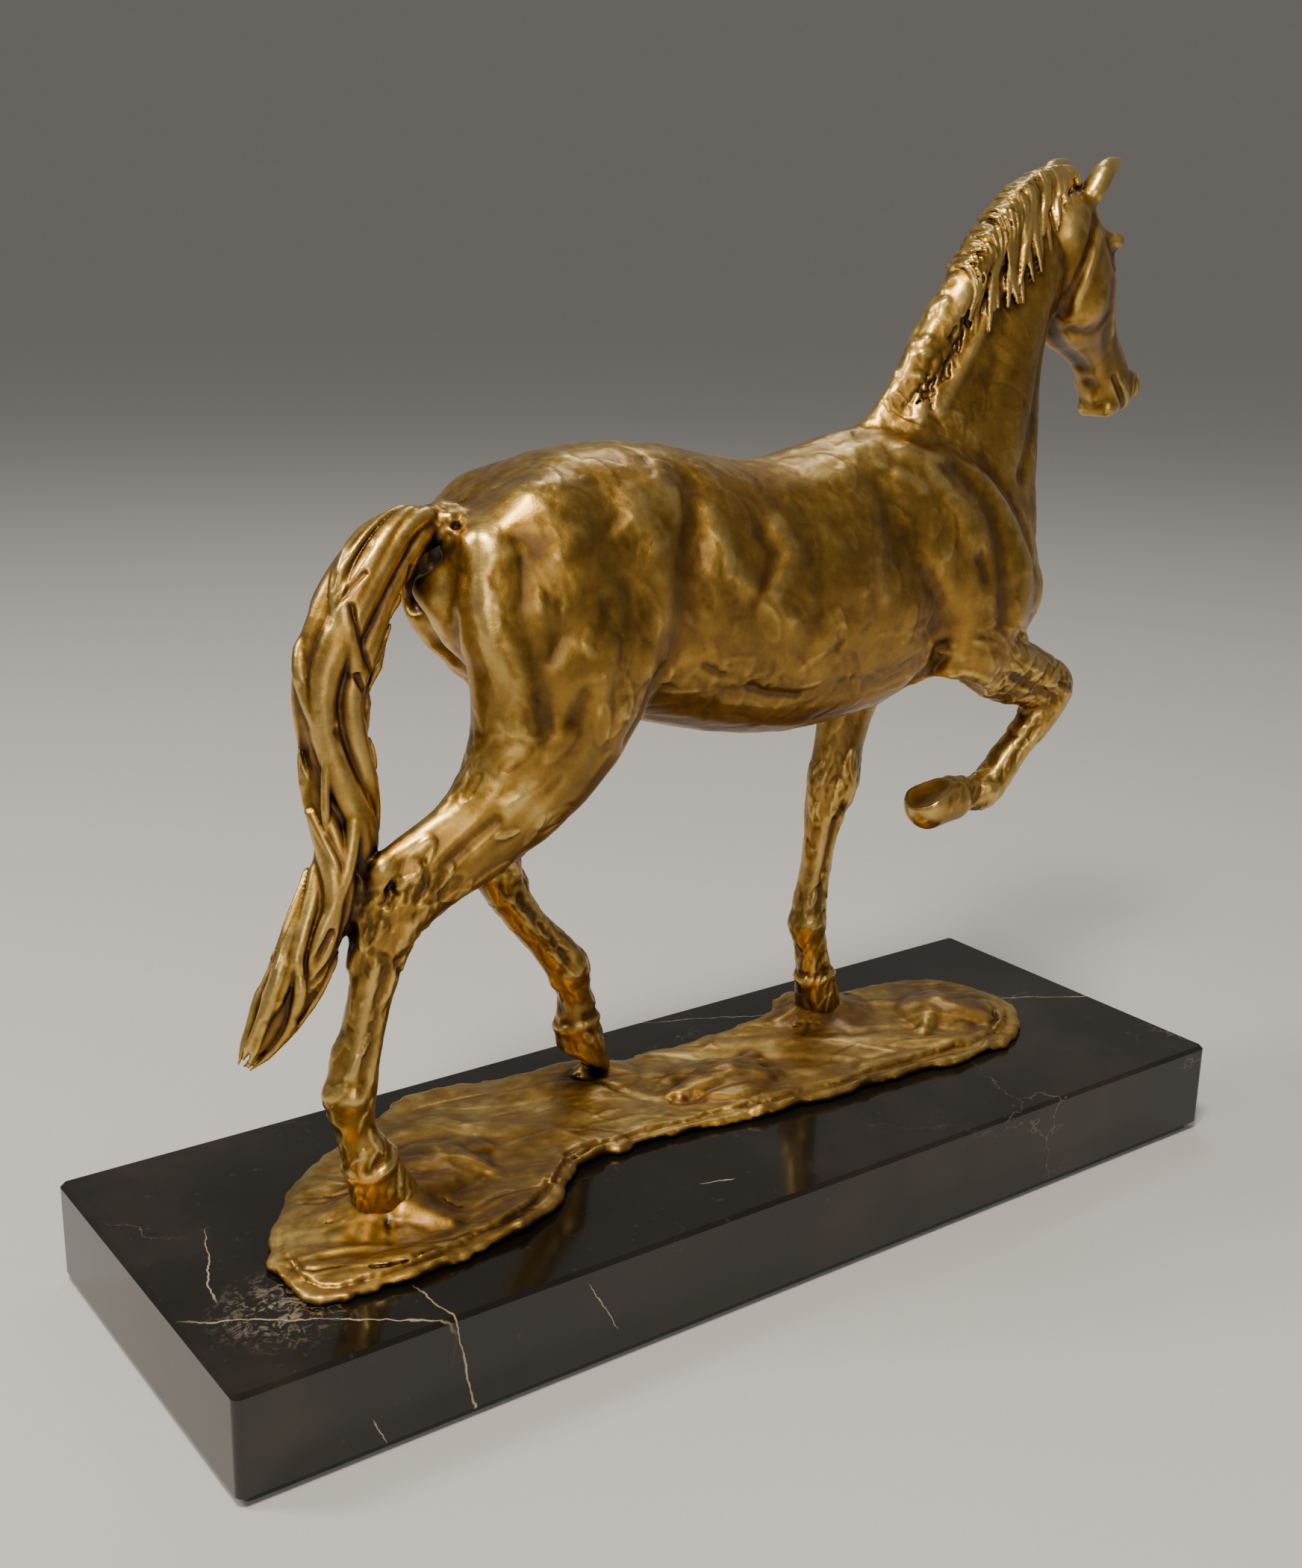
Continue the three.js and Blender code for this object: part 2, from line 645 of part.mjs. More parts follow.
function makeStud(x, y) {
  const radius = STUD_DIAMETER / 2;
  const profile = [
    [0, STUD_BOTTOM],
    [radius - STUD_CHAMFER, STUD_BOTTOM],
    [radius, STUD_BOTTOM + STUD_CHAMFER],
    [radius, STUD_TOP - STUD_CHAMFER],
    [radius - STUD_CHAMFER, STUD_TOP],
    [0, STUD_TOP],
  ].map(([r, z]) => new THREE.Vector2(r, z));
  const geometry = new THREE.LatheGeometry(profile, STUD_SIDES);
  geometry.rotateX(Math.PI / 2);
  geometry.translate(x, y, 0);
  return solid(geometry);
}

// A round or six-sided ring: washers and nuts.
function ringSolid(x, y, outerRadius, sides, boreRadius, bottom, top) {
  const corners = Array.from({ length: sides }, (unused, index) => {
    const angle = (index / sides) * 2 * Math.PI;
    return new THREE.Vector2(outerRadius * Math.cos(angle), outerRadius * Math.sin(angle));
  });
  const shape = new THREE.Shape(corners);
  shape.holes.push(new THREE.Path().absarc(0, 0, boreRadius, 0, 2 * Math.PI, true));
  const geometry = new THREE.ExtrudeGeometry(shape, {
    depth: top - bottom,
    bevelEnabled: false,
    curveSegments: 10,
  });
  geometry.translate(x, y, bottom);
  return solid(geometry);
}

function makePin(hoof) {
  const place = onHorse(hoof.x, hoof.y, 0);
  return upright(place.x, place.y, HOOF_PIN_DIAMETER, SOLE_LEVEL - HOOF_PIN_IN_GROUND,
    SOLE_LEVEL + HOOF_PIN_IN_HOOF, PIN_SIDES);
}

// ---------------------------------------------------------------------------------------------
// The assembly
// ---------------------------------------------------------------------------------------------

const statue = new THREE.Group();

const base = new THREE.Group();
base.add(piece('felt_sheet', makeFelt(), felt));
base.add(piece('marble_base', makeSlab(), marble));
base.add(piece('ground_plate', makeGround(), bronzeGround));
for (const stud of STUD_PLACES) {
  const { x, y } = onHorse(stud.x, stud.y, 0);
  const bore = STUD_DIAMETER / 2 + GAP;
  const nutRadius = NUT_ACROSS_FLATS / Math.sqrt(3);
  const washerBottom = WASHER_TOP - WASHER_THICKNESS;
  const washer = ringSolid(x, y, WASHER_DIAMETER / 2, WASHER_SIDES, bore, washerBottom, WASHER_TOP);
  const nut = ringSolid(x, y, nutRadius, NUT_SIDES, bore, NUT_TOP - NUT_HEIGHT, NUT_TOP);
  base.add(piece(`${stud.end}_stud`, makeStud(x, y), steel));
  base.add(piece(`${stud.end}_washer`, washer, steel));
  base.add(piece(`${stud.end}_nut`, nut, steel));
}
statue.add(base);

const horse = new THREE.Group();
horse.add(piece('body_casting', bodyCasting, bronze));
horse.add(piece('head_neck_casting', headNeckCasting, bronze));
horse.add(piece('right_foreleg_casting', rightForelegCasting, bronze));
horse.add(piece('left_foreleg_casting', leftForelegCasting, bronzeDark));
horse.add(piece('right_hind_leg_casting', rightHindLegCasting, bronze));
horse.add(piece('left_hind_leg_casting', leftHindLegCasting, bronzeDark));
horse.add(piece('tail_casting', tailCasting, bronzeDark));
for (const hoof of PINNED_HOOVES) {
  horse.add(piece(hoof.name, makePin(hoof), brass));
}
statue.add(horse);

export default statue;
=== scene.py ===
"""The looks of the bronze horse statue: a sculpted skin over the cast sections, patina, marble.

Lengths are millimetres while the bronze is sculpted, and metres in every Blender object.
The sculpting works on blocks of distances: a grid of numbers that are negative inside the bronze.
"""

import itertools
import math

import bpy
import numpy as np
import openvdb as vdb
from mathutils import Matrix, Vector


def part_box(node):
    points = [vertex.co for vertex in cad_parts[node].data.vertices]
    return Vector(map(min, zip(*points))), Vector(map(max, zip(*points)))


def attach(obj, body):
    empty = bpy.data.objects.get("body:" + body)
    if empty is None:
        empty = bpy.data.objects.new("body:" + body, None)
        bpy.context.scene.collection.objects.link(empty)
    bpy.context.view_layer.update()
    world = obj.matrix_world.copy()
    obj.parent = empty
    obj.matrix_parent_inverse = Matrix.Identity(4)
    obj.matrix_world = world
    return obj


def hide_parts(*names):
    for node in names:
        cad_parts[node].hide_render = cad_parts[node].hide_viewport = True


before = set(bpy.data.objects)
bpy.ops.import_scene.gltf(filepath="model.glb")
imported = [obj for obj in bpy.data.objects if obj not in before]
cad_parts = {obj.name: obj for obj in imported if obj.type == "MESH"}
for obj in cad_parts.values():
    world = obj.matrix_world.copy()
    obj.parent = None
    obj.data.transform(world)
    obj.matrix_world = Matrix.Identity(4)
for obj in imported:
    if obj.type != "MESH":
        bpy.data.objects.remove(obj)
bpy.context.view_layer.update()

MM = 0.001
DRAFT = 1.0

HORSE = [
    "body_casting", "head_neck_casting", "right_foreleg_casting", "left_foreleg_casting",
    "right_hind_leg_casting", "left_hind_leg_casting", "tail_casting",
]
STUDS = ["rear_stud", "middle_stud", "front_stud"]
HOOF_PINS = ["right_hind_hoof_pin", "left_hind_hoof_pin", "left_fore_hoof_pin"]


def box(name):
    """The lowest and the highest corner of a CAD node, in millimetres."""
    return np.array(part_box(name)) / MM


def middle_of(name):
    """The x and y of the middle of a CAD node."""
    low, high = box(name)
    return (low[:2] + high[:2]) / 2


SOLES = box("right_hind_leg_casting")[0][2]
HORSE_CENTRE_Y = 12.0


def at(x, y, z):
    """A place on the horse (x forward, y to its left, z above its soles) in the statue's frame."""
    return np.array((x, y + HORSE_CENTRE_Y, z + SOLES))


# ==== Camera ====

CAMERA_PLACE = (-0.4067, -0.5285, 0.3719)
CAMERA_AZIMUTH = math.radians(-36.15)
CAMERA_ELEVATION = math.radians(16.29)
CAMERA_ROLL = math.radians(1.16)
CAMERA_LENS = 41.3
SENSOR = 36.0


def add_camera():
    azimuth, elevation = CAMERA_AZIMUTH, CAMERA_ELEVATION
    forward = Vector((
        -math.sin(azimuth) * math.cos(elevation),
        math.cos(azimuth) * math.cos(elevation),
        -math.sin(elevation),
    ))
    right = forward.cross(Vector((0, 0, 1))).normalized()
    up = right.cross(forward)
    rolled_right = right * math.cos(CAMERA_ROLL) + up * math.sin(CAMERA_ROLL)
    rolled_up = up * math.cos(CAMERA_ROLL) - right * math.sin(CAMERA_ROLL)
    turn = Matrix((rolled_right, rolled_up, -forward)).transposed().to_4x4()
    data = bpy.data.cameras.new("camera")
    data.lens = CAMERA_LENS
    data.sensor_width = SENSOR
    data.clip_start = 0.01
    camera = bpy.data.objects.new("camera", data)
    camera.matrix_world = Matrix.Translation(CAMERA_PLACE) @ turn
    bpy.context.collection.objects.link(camera)
    bpy.context.scene.camera = camera


add_camera()


# ==== Noise ====

HASH_PRIMES = (73856093, 19349663, 83492791, 2654435761)    # for the three indices and the seed
HASH_MIX = 1274126177
HASH_MASK = 0x7FFFFFFF


def lattice(i, j, k, seed):
    """A repeatable random number from -1 to 1 for each cell of a lattice."""
    n = i * HASH_PRIMES[0] ^ j * HASH_PRIMES[1] ^ k * HASH_PRIMES[2] ^ seed * HASH_PRIMES[3]
    n = ((n ^ (n >> 13)) * HASH_MIX) & HASH_MASK
    n = (n ^ (n >> 16)) & HASH_MASK
    return n / float(HASH_MASK // 2) - 1.0


def corners(part):
    """The eight corners of a cell: the steps to each, and its share at places part of the way in."""
    for steps in itertools.product((0, 1), repeat=3):
        shares = [part[:, axis] if step else 1 - part[:, axis] for axis, step in enumerate(steps)]
        yield steps, shares[0] * shares[1] * shares[2]


def lumps(points, size, seed):
    """Smooth random values from -1 to 1, with lumps of the given size."""
    q = points / size
    cell = np.floor(q).astype(np.int64)
    part = q - cell
    part = part * part * (3 - 2 * part)
    total = np.zeros(len(points))
    for (dx, dy, dz), share in corners(part):
        total += share * lattice(cell[:, 0] + dx, cell[:, 1] + dy, cell[:, 2] + dz, seed)
    return total


def layered(points, layers):
    """Lumps of several sizes together: (size, height, seed) of each."""
    return sum(height * lumps(points, size, seed) for size, height, seed in layers)


# ==== Clay ====

BAND = 8.0                              # distances are true within this much of the surface
FAR_AWAY = 1e3
MARGIN = 10.0                           # room round a casting for the clay that is added to it
BLUR_REACH = 2.6                        # how far a blur looks, in sigmas
SEEK_STEPS = 6                          # steps towards the surface, and the longest step
SEEK_LIMIT = 4
BRUSH_REACH = 2.3                       # how far a soft mark is worked out, in widths
SHARP_REACH = 1.7                       # where a sharp mark ends, in widths, and how it falls off
SHARP_POWER = 1.5
PRESS_DEPTH = 1.5                       # how deep a pressed strip reaches, in widths
PRESS_EDGE = 2.6                        # how steep its edge is
PRESS_TILT = 0.3                        # how much prouder one edge is than the middle


def soup(nodes):
    """The triangles of several CAD nodes, in millimetres."""
    points, triangles, count = [], [], 0
    for name in nodes:
        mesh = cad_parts[name].data
        co = np.empty(len(mesh.vertices) * 3, np.float32)
        mesh.vertices.foreach_get("co", co)
        place = np.array(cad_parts[name].matrix_world)
        co = co.reshape(-1, 3) @ place[:3, :3].T + place[:3, 3]
        mesh.calc_loop_triangles()
        index = np.empty(len(mesh.loop_triangles) * 3, np.int32)
        mesh.loop_triangles.foreach_get("vertices", index)
        points.append(co / MM)
        triangles.append(index.reshape(-1, 3) + count)
        count += len(co)
    return np.vstack(points).astype(np.float32), np.vstack(triangles).astype(np.uint32)


KNOWN = {}


def distances(nodes, voxel):
    """The distance to several nodes together. A hollow that they close is filled."""
    if (nodes, voxel) not in KNOWN:
        points, triangles = soup(nodes)
        KNOWN[nodes, voxel] = vdb.FloatGrid.createLevelSetFromPolygons(
            points, triangles=triangles,
            transform=vdb.createLinearTransform(voxelSize=voxel), halfWidth=BAND / voxel)
    return KNOWN[nodes, voxel]


def smooth_min(a, b, blend):
    near = np.maximum(blend - np.abs(a - b), 0) / blend
    return np.minimum(a, b) - near * near * blend / 4


def smooth_step(low, high, value):
    t = np.clip((value - low) / (high - low), 0, 1)
    return t * t * (3 - 2 * t)


def blurred(field, sigma):
    """A Gaussian blur, sigma in cells."""
    reach = int(math.ceil(BLUR_REACH * sigma))
    taps = np.exp(-0.5 * (np.arange(reach + 1) / sigma) ** 2)
    taps /= taps[0] + 2 * taps[1:].sum()
    for axis in range(3):
        field = np.moveaxis(field, axis, 0)
        padded = np.concatenate([field[:1]] * reach + [field] + [field[-1:]] * reach)
        size = len(field)
        out = taps[0] * padded[reach:reach + size]
        for step in range(1, reach + 1):
            before, after = reach - step, reach + step
            out += taps[step] * (padded[before:before + size] + padded[after:after + size])
        field = np.moveaxis(out.astype(np.float32), 0, axis)
    return np.ascontiguousarray(field)


def curve_through(points, per_span=4):
    """A smooth curve through some points, as more points (Catmull-Rom)."""
    p = np.asarray(points, float)
    if len(p) < 3:
        return p
    ends = np.vstack([2 * p[0] - p[1], p, 2 * p[-1] - p[-2]])
    out = []
    for i in range(len(p) - 1):
        a, b, c, d = ends[i:i + 4]
        for t in np.arange(per_span) / per_span:
            out.append(0.5 * (2 * b + (c - a) * t + (2 * a - 5 * b + 4 * c - d) * t * t
                              + (3 * b - a - 3 * c + d) * t ** 3))
    out.append(p[-1])
    return np.array(out)


def cells(a, b):
    """The block of cells from index a up to b."""
    return tuple(slice(a[k], b[k]) for k in range(3))


class Clay:
    """A block of distances to the bronze's surface, negative inside."""

    def __init__(self, low, high, voxel):
        self.voxel = voxel
        self.first = np.floor(np.asarray(low) / voxel).astype(int)
        self.shape = np.ceil(np.asarray(high) / voxel).astype(int) - self.first + 1
        self.d = None

    def distance_to(self, nodes):
        out = np.zeros(tuple(self.shape), np.float32)
        distances(tuple(nodes), self.voxel).copyToArray(out, ijk=tuple(int(i) for i in self.first))
        return out

    def axes(self, a, b):
        """The x, y and z of the cells from index a up to b, ready to broadcast."""
        lines = [(np.arange(a[i], b[i]) + self.first[i]).astype(np.float32) * self.voxel for i in range(3)]
        return np.meshgrid(*lines, indexing="ij", sparse=True)

    def window(self, points, margin):
        """The index range of the cells around some points, or None."""
        low, high = np.min(points, axis=0) - margin, np.max(points, axis=0) + margin
        a = np.maximum(np.floor(low / self.voxel).astype(int) - self.first, 0)
        b = np.minimum(np.ceil(high / self.voxel).astype(int) - self.first + 1, self.shape)
        return None if (a >= b).any() else (a, b)

    def sample(self, points, field=None):
        """The distance, or another field, at some points."""
        field = self.d if field is None else field
        q = np.clip(np.asarray(points) / self.voxel - self.first, 0, self.shape - 1.001)
        i = np.floor(q).astype(int)
        total = 0
        for (dx, dy, dz), share in corners(q - i):
            total = total + share * field[i[:, 0] + dx, i[:, 1] + dy, i[:, 2] + dz]
        return total

    def slope(self, points):
        """The direction straight out of the bronze at some points."""
        steps = np.eye(3) * self.voxel
        g = np.stack([self.sample(points + a) - self.sample(points - a) for a in steps], axis=1)
        return g / np.maximum(np.linalg.norm(g, axis=1, keepdims=True), 1e-6)

    def onto_surface(self, points, lift=0.0):
        """The nearest places that are lift above the surface."""
        p = np.array(points, float)
        for _ in range(SEEK_STEPS):
            p -= np.clip(self.sample(p) - lift, -SEEK_LIMIT, SEEK_LIMIT)[:, None] * self.slope(p)
        return p

    def line_distance(self, a, b, points, radii, reach):
        """Distance to a chain of tapering capsules, over the cells from index a up to b."""
        best = np.full(tuple(b - a), FAR_AWAY, np.float32)
        for i in range(len(points) - 1):
            p, q = points[i], points[i + 1]
            part = self.window([p, q], reach)
            if part is None:
                continue
            x, y, z = self.axes(*part)
            along = q - p
            size = max(float(along @ along), 1e-6)
            t = ((x - p[0]) * along[0] + (y - p[1]) * along[1] + (z - p[2]) * along[2]) / size
            t = np.clip(t, 0, 1)
            d = np.sqrt((x - p[0] - t * along[0]) ** 2 + (y - p[1] - t * along[1]) ** 2
                        + (z - p[2] - t * along[2]) ** 2) - (radii[i] + (radii[i + 1] - radii[i]) * t)
            block = cells(part[0] - a, part[1] - a)
            best[block] = np.minimum(best[block], d)
        return best

    def apply(self, stroke):
        """Lays one stroke into the block: press, brush, add or carve, as the functions below make them."""
        kind, points, *rest = stroke
        if kind == "press":
            self.press(points, *rest)
            return
        if kind == "brush":
            width, height, sharp = rest
            reach = BRUSH_REACH * width + 1
            radii = np.zeros(len(points))
        else:
            radii, blend = rest
            reach = max(radii) + blend + 1
        found = self.window(points, reach)
        if found is None:
            return
        block = cells(*found)
        d = self.line_distance(*found, points, radii, reach)
        if kind == "brush":
            if sharp:
                falloff = np.maximum(1 - d / (SHARP_REACH * width), 0) ** SHARP_POWER
            else:
                falloff = np.exp(-(d / width) ** 2)
            self.d[block] -= (height * falloff).astype(np.float32)
        elif kind == "add":
            self.d[block] = smooth_min(self.d[block], d, blend)
        else:
            self.d[block] = -smooth_min(-self.d[block], d, blend)

    def press(self, place, normal, along, length, width, height):
        """A strip of clay pressed on (or scraped off), with one edge a little proud."""
        found = self.window([place], length)
        if found is None:
            return
        x, y, z = (line - start for line, start in zip(self.axes(*found), place))
        u, v, w = (x * way[0] + y * way[1] + z * way[2] for way in (along, np.cross(normal, along), normal))
        u, v, w = u / length, v / width, w / (PRESS_DEPTH * width)
        hill = np.clip(1 - u * u - v * v - w * w, 0, 1)
        edge = np.clip(hill * PRESS_EDGE, 0, 1)
        tilt = 1 - PRESS_TILT + PRESS_TILT * v
        self.d[cells(*found)] -= (height * edge * edge * (3 - 2 * edge) * tilt).astype(np.float32)

    def note_edges(self, looks):
        """Keeps how far the clay stands out from its surroundings: (blur, how much counts as full)."""
        self.edges = [(blurred(self.d, sigma / self.voxel) - self.d, full) for sigma, full in looks]

    def patina_wear_and_painted_light(self, points):
        """How far the surface stands proud at some points: worn patina and painted highlight on the ridges,
        darker patina and painted shade in the hollows.
        """
        return sum(self.sample(points, field) / full for field, full in self.edges)

    def skin(self):
        """The surface as points and four-sided faces, largest shell only, faces outwards."""
        grid = vdb.FloatGrid(BAND)
        grid.copyFromArray(np.ascontiguousarray(self.d), ijk=tuple(int(i) for i in self.first))
        grid.transform = vdb.createLinearTransform(voxelSize=self.voxel)
        points, quads = grid.convertToQuads(isovalue=0.0)
        points = points.astype(float)
        quads = quads.astype(np.int64)
        label = np.arange(len(points))
        while True:
            low = label[quads].min(axis=1)
            new = label.copy()
            np.minimum.at(new, quads.ravel(), np.repeat(low, 4))
            new = new[new]
            if (new == label).all():
                break
            label = new
        names, counts = np.unique(label, return_counts=True)
        keep = label == names[np.argmax(counts)]
        quads = quads[keep[quads[:, 0]]]
        renumber = np.cumsum(keep) - 1
        points, quads = points[keep], renumber[quads]
        a, b, c, d = (points[quads[:, i]] for i in range(4))
        volume = sum(np.einsum("ij,ij->i", a, half).sum() for half in (np.cross(b, c), np.cross(c, d)))
        if volume < 0:
            quads = quads[:, ::-1]
        return points, quads


def normals_of(points, quads):
    a, b, c, d = (points[quads[:, i]] for i in range(4))
    face = np.cross(c - a, d - b)
    out = np.zeros_like(points)
    for axis in range(3):
        out[:, axis] = np.bincount(quads.ravel(), np.repeat(face[:, axis], 4), minlength=len(points))
    return out / np.maximum(np.linalg.norm(out, axis=1, keepdims=True), 1e-9)


def make_piece(name, points, quads, material, patina_wear_and_painted_light):
    mesh = bpy.data.meshes.new(name)
    mesh.vertices.add(len(points))
    mesh.vertices.foreach_set("co", (points * MM).astype(np.float32).ravel())
    mesh.loops.add(quads.size)
    mesh.loops.foreach_set("vertex_index", quads.astype(np.int32).ravel())
    mesh.polygons.add(len(quads))
    mesh.polygons.foreach_set("loop_start", np.arange(0, quads.size, 4, dtype=np.int32))
    mesh.update(calc_edges=True)
    mesh.validate()
    mesh.polygons.foreach_set("use_smooth", np.ones(len(mesh.polygons), bool))
    # per point: worn patina and painted highlight on ridges, darker patina and painted shade in hollows
    attribute = mesh.attributes.new("patina_wear_and_painted_light", "FLOAT", "POINT")
    attribute.data.foreach_set("value", patina_wear_and_painted_light.astype(np.float32))
    mesh.materials.append(material)
    obj = bpy.data.objects.new(name, mesh)
    bpy.context.collection.objects.link(obj)
    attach(obj, "root")
    return obj


# ==== Materials ====

def new_material(name):
    material = bpy.data.materials.new(name)
    material.use_nodes = True
    tree = material.node_tree
    shader = tree.nodes["Principled BSDF"]
    return material, tree, shader


def feed(tree, made, inputs):
    """Gives each of a node's inputs a value, or a link from another node."""
    for key, value in inputs.items():
        if isinstance(value, bpy.types.NodeSocket):
            tree.links.new(value, made.inputs[key])
        else:
            made.inputs[key].default_value = value


def node(tree, kind, inputs=None, **settings):
    made = tree.nodes.new(kind)
    for key, value in settings.items():
        setattr(made, key, value)
    feed(tree, made, inputs or {})
    return made


def maths(tree, operation, a, b=0.0, clamp=False):
    return node(tree, "ShaderNodeMath", {0: a, 1: b}, operation=operation, use_clamp=clamp).outputs[0]


def scaled(tree, value, middle, amount, offset=0.0):
    """(value - middle) * amount + offset."""
    inputs = {0: value, 1: amount, 2: offset - middle * amount}
    return node(tree, "ShaderNodeMath", inputs, operation="MULTIPLY_ADD").outputs[0]


def faded(tree, distance, reach):
    """1 at no distance, down to 0 from reach on."""
    return maths(tree, "SUBTRACT", 1.0, maths(tree, "DIVIDE", distance, reach), clamp=True)


def vectors(tree, operation, a, b=None, output="Vector"):
    inputs = {0: a} if b is None else {0: a, 1: b}
    return node(tree, "ShaderNodeVectorMath", inputs, operation=operation).outputs[output]


def noise(tree, coordinates, scale, detail=3.0, roughness=0.55, distortion=0.0, output="Fac"):
    return node(tree, "ShaderNodeTexNoise", {
        "Vector": coordinates, "Scale": scale, "Detail": detail,
        "Roughness": roughness, "Distortion": distortion,
    }).outputs[output]


def swirl(tree, place, scale, detail):
    """A random shift, up to a half each way, that changes from place to place."""
    return vectors(tree, "SUBTRACT", noise(tree, place, scale, detail, 0.6, output="Color"), grey(0.5))


def ramp(tree, factor, stops):
    made = node(tree, "ShaderNodeValToRGB", {"Fac": factor})
    elements = made.color_ramp.elements
    while len(elements) < len(stops):
        elements.new(0.5)
    for element, (place, colour) in zip(elements, stops):
        element.position = place
        element.color = (*colour, 1.0)
    return made.outputs["Color"]


def mixed(tree, factor, a, b):
    inputs = {0: factor, 6: a, 7: b}
    return node(tree, "ShaderNodeMix", inputs, data_type="RGBA", blend_type="MIX").outputs[2]


def bump(tree, strength, distance, height):
    inputs = {"Strength": strength, "Distance": distance, "Height": height}
    return node(tree, "ShaderNodeBump", inputs).outputs["Normal"]


def grey(value):
    return (value, value, value)


BRONZE_STOPS = [
    (0.0, (0.007, 0.004, 0.0022)),
    (0.25, (0.050, 0.024, 0.006)),
    (0.5, (0.20, 0.098, 0.014)),
    (0.75, (0.43, 0.235, 0.036)),
    (1.0, (0.74, 0.50, 0.15)),
]


def bronze(name, tone, tint, tinted, dullness=0.43):
    """Patinated bronze: golden brown on the skin; dark in the hollows and bright on the edges, partly
    patina and its wear, partly painted shade and painted highlight; lighter where it faces up, painted
    light from above.
    """
    material, tree, shader = new_material(name)
    place = node(tree, "ShaderNodeTexCoord").outputs["Object"]
    # the ridge measure tones the colour: ridges brighter (worn patina and painted highlight), hollows
    # darker (patina and painted shade)
    patina_wear_and_painted_light = node(tree, "ShaderNodeAttribute", attribute_name="patina_wear_and_painted_light").outputs["Fac"]
    # occlusion darkens the colour in hollows and between parts: partly the patina gathered there, partly
    # painted shade
    hollow_patina_and_shade = node(tree, "ShaderNodeAmbientOcclusion", {"Distance": 0.025}, samples=8).outputs["AO"]
    normal = node(tree, "ShaderNodeNewGeometry").outputs["Normal"]
    # faces that look up are painted lighter and those that look down darker: painted light from above
    painted_light_from_above = node(tree, "ShaderNodeSeparateXYZ", {0: normal}).outputs[2]
    clouds = noise(tree, place, 34.0, 5.0, 0.6)
    mottle = noise(tree, place, 150.0, 4.0, 0.62)
    speck = noise(tree, place, 800.0, 2.0, 0.5)
    total = scaled(tree, patina_wear_and_painted_light, 0.0, 0.26, tone)
    for value, middle, amount in (
            (clouds, 0.5, 0.66), (mottle, 0.5, 0.36), (speck, 0.5, 0.10),
            (hollow_patina_and_shade, 0.8, 0.50), (painted_light_from_above, 0.1, 0.10)):
        total = maths(tree, "ADD", total, scaled(tree, value, middle, amount))
    total = maths(tree, "ADD", total, 0.0, clamp=True)
    stain = ramp(tree, noise(tree, place, 22.0, 3.0), [(0.42, grey(0.0)), (0.68, grey(tinted))])
    gloss = maths(tree, "ADD", scaled(tree, total, 0.5, -0.20, dullness), scaled(tree, mottle, 0.5, 0.30))
    grain = maths(tree, "ADD", maths(tree, "MULTIPLY", speck, 0.4), mottle)
    feed(tree, shader, {
        "Base Color": mixed(tree, stain, ramp(tree, total, BRONZE_STOPS), (*tint, 1.0)),
        "Roughness": gloss, "Metallic": 1.0, "Coat Weight": 0.30, "Coat Roughness": 0.22,
        "Normal": bump(tree, 0.22, 0.0006, grain),
    })
    return material


# Veins in the slab: a place on each in millimetres, the direction across it, half thickness,
# how far it wanders, and how far along it reaches (centre and radius).
VEINS = [
    ((-190, -56, 40), (0.55, 0.83, 0.06), 0.55, 5.0, 46),
    ((-149, -80, 20), (0.98, 0.10, 0.19), 0.50, 3.0, 34),
    ((211, -2, 40), (0.49, 0.87, 0.05), 0.45, 3.0, 30),
    ((-206, -5, 40), (0.95, -0.30, 0.0), 0.40, 5.0, 26),
    ((-180, -80, 4), (0.93, 0.0, 0.37), 0.30, 2.0, 12),
    ((-95, -80, 24), (0.87, 0.0, 0.48), 0.25, 3.0, 13),
    ((-27, -56, 40), (0.35, 0.93, 0.0), 0.35, 2.0, 7),
    ((60, 66, 40), (0.40, 0.91, 0.1), 0.40, 4.0, 40),
    ((230, 30, 20), (0.1, 0.75, 0.65), 0.40, 4.0, 26),
    ((120, 80, 20), (0.9, 0.1, 0.4), 0.35, 3.0, 24),
]

PALE_PATCH = (-198.0, -44.0, 40.3)
PALE_PATCH_RADIUS = 26.0
VEIN_CROOK = 3.0                        # how crooked a vein is close up, in millimetres
WEB_DRIFT = 0.05                        # how far the web of hairlines is pushed about
HAIRLINE = 0.006


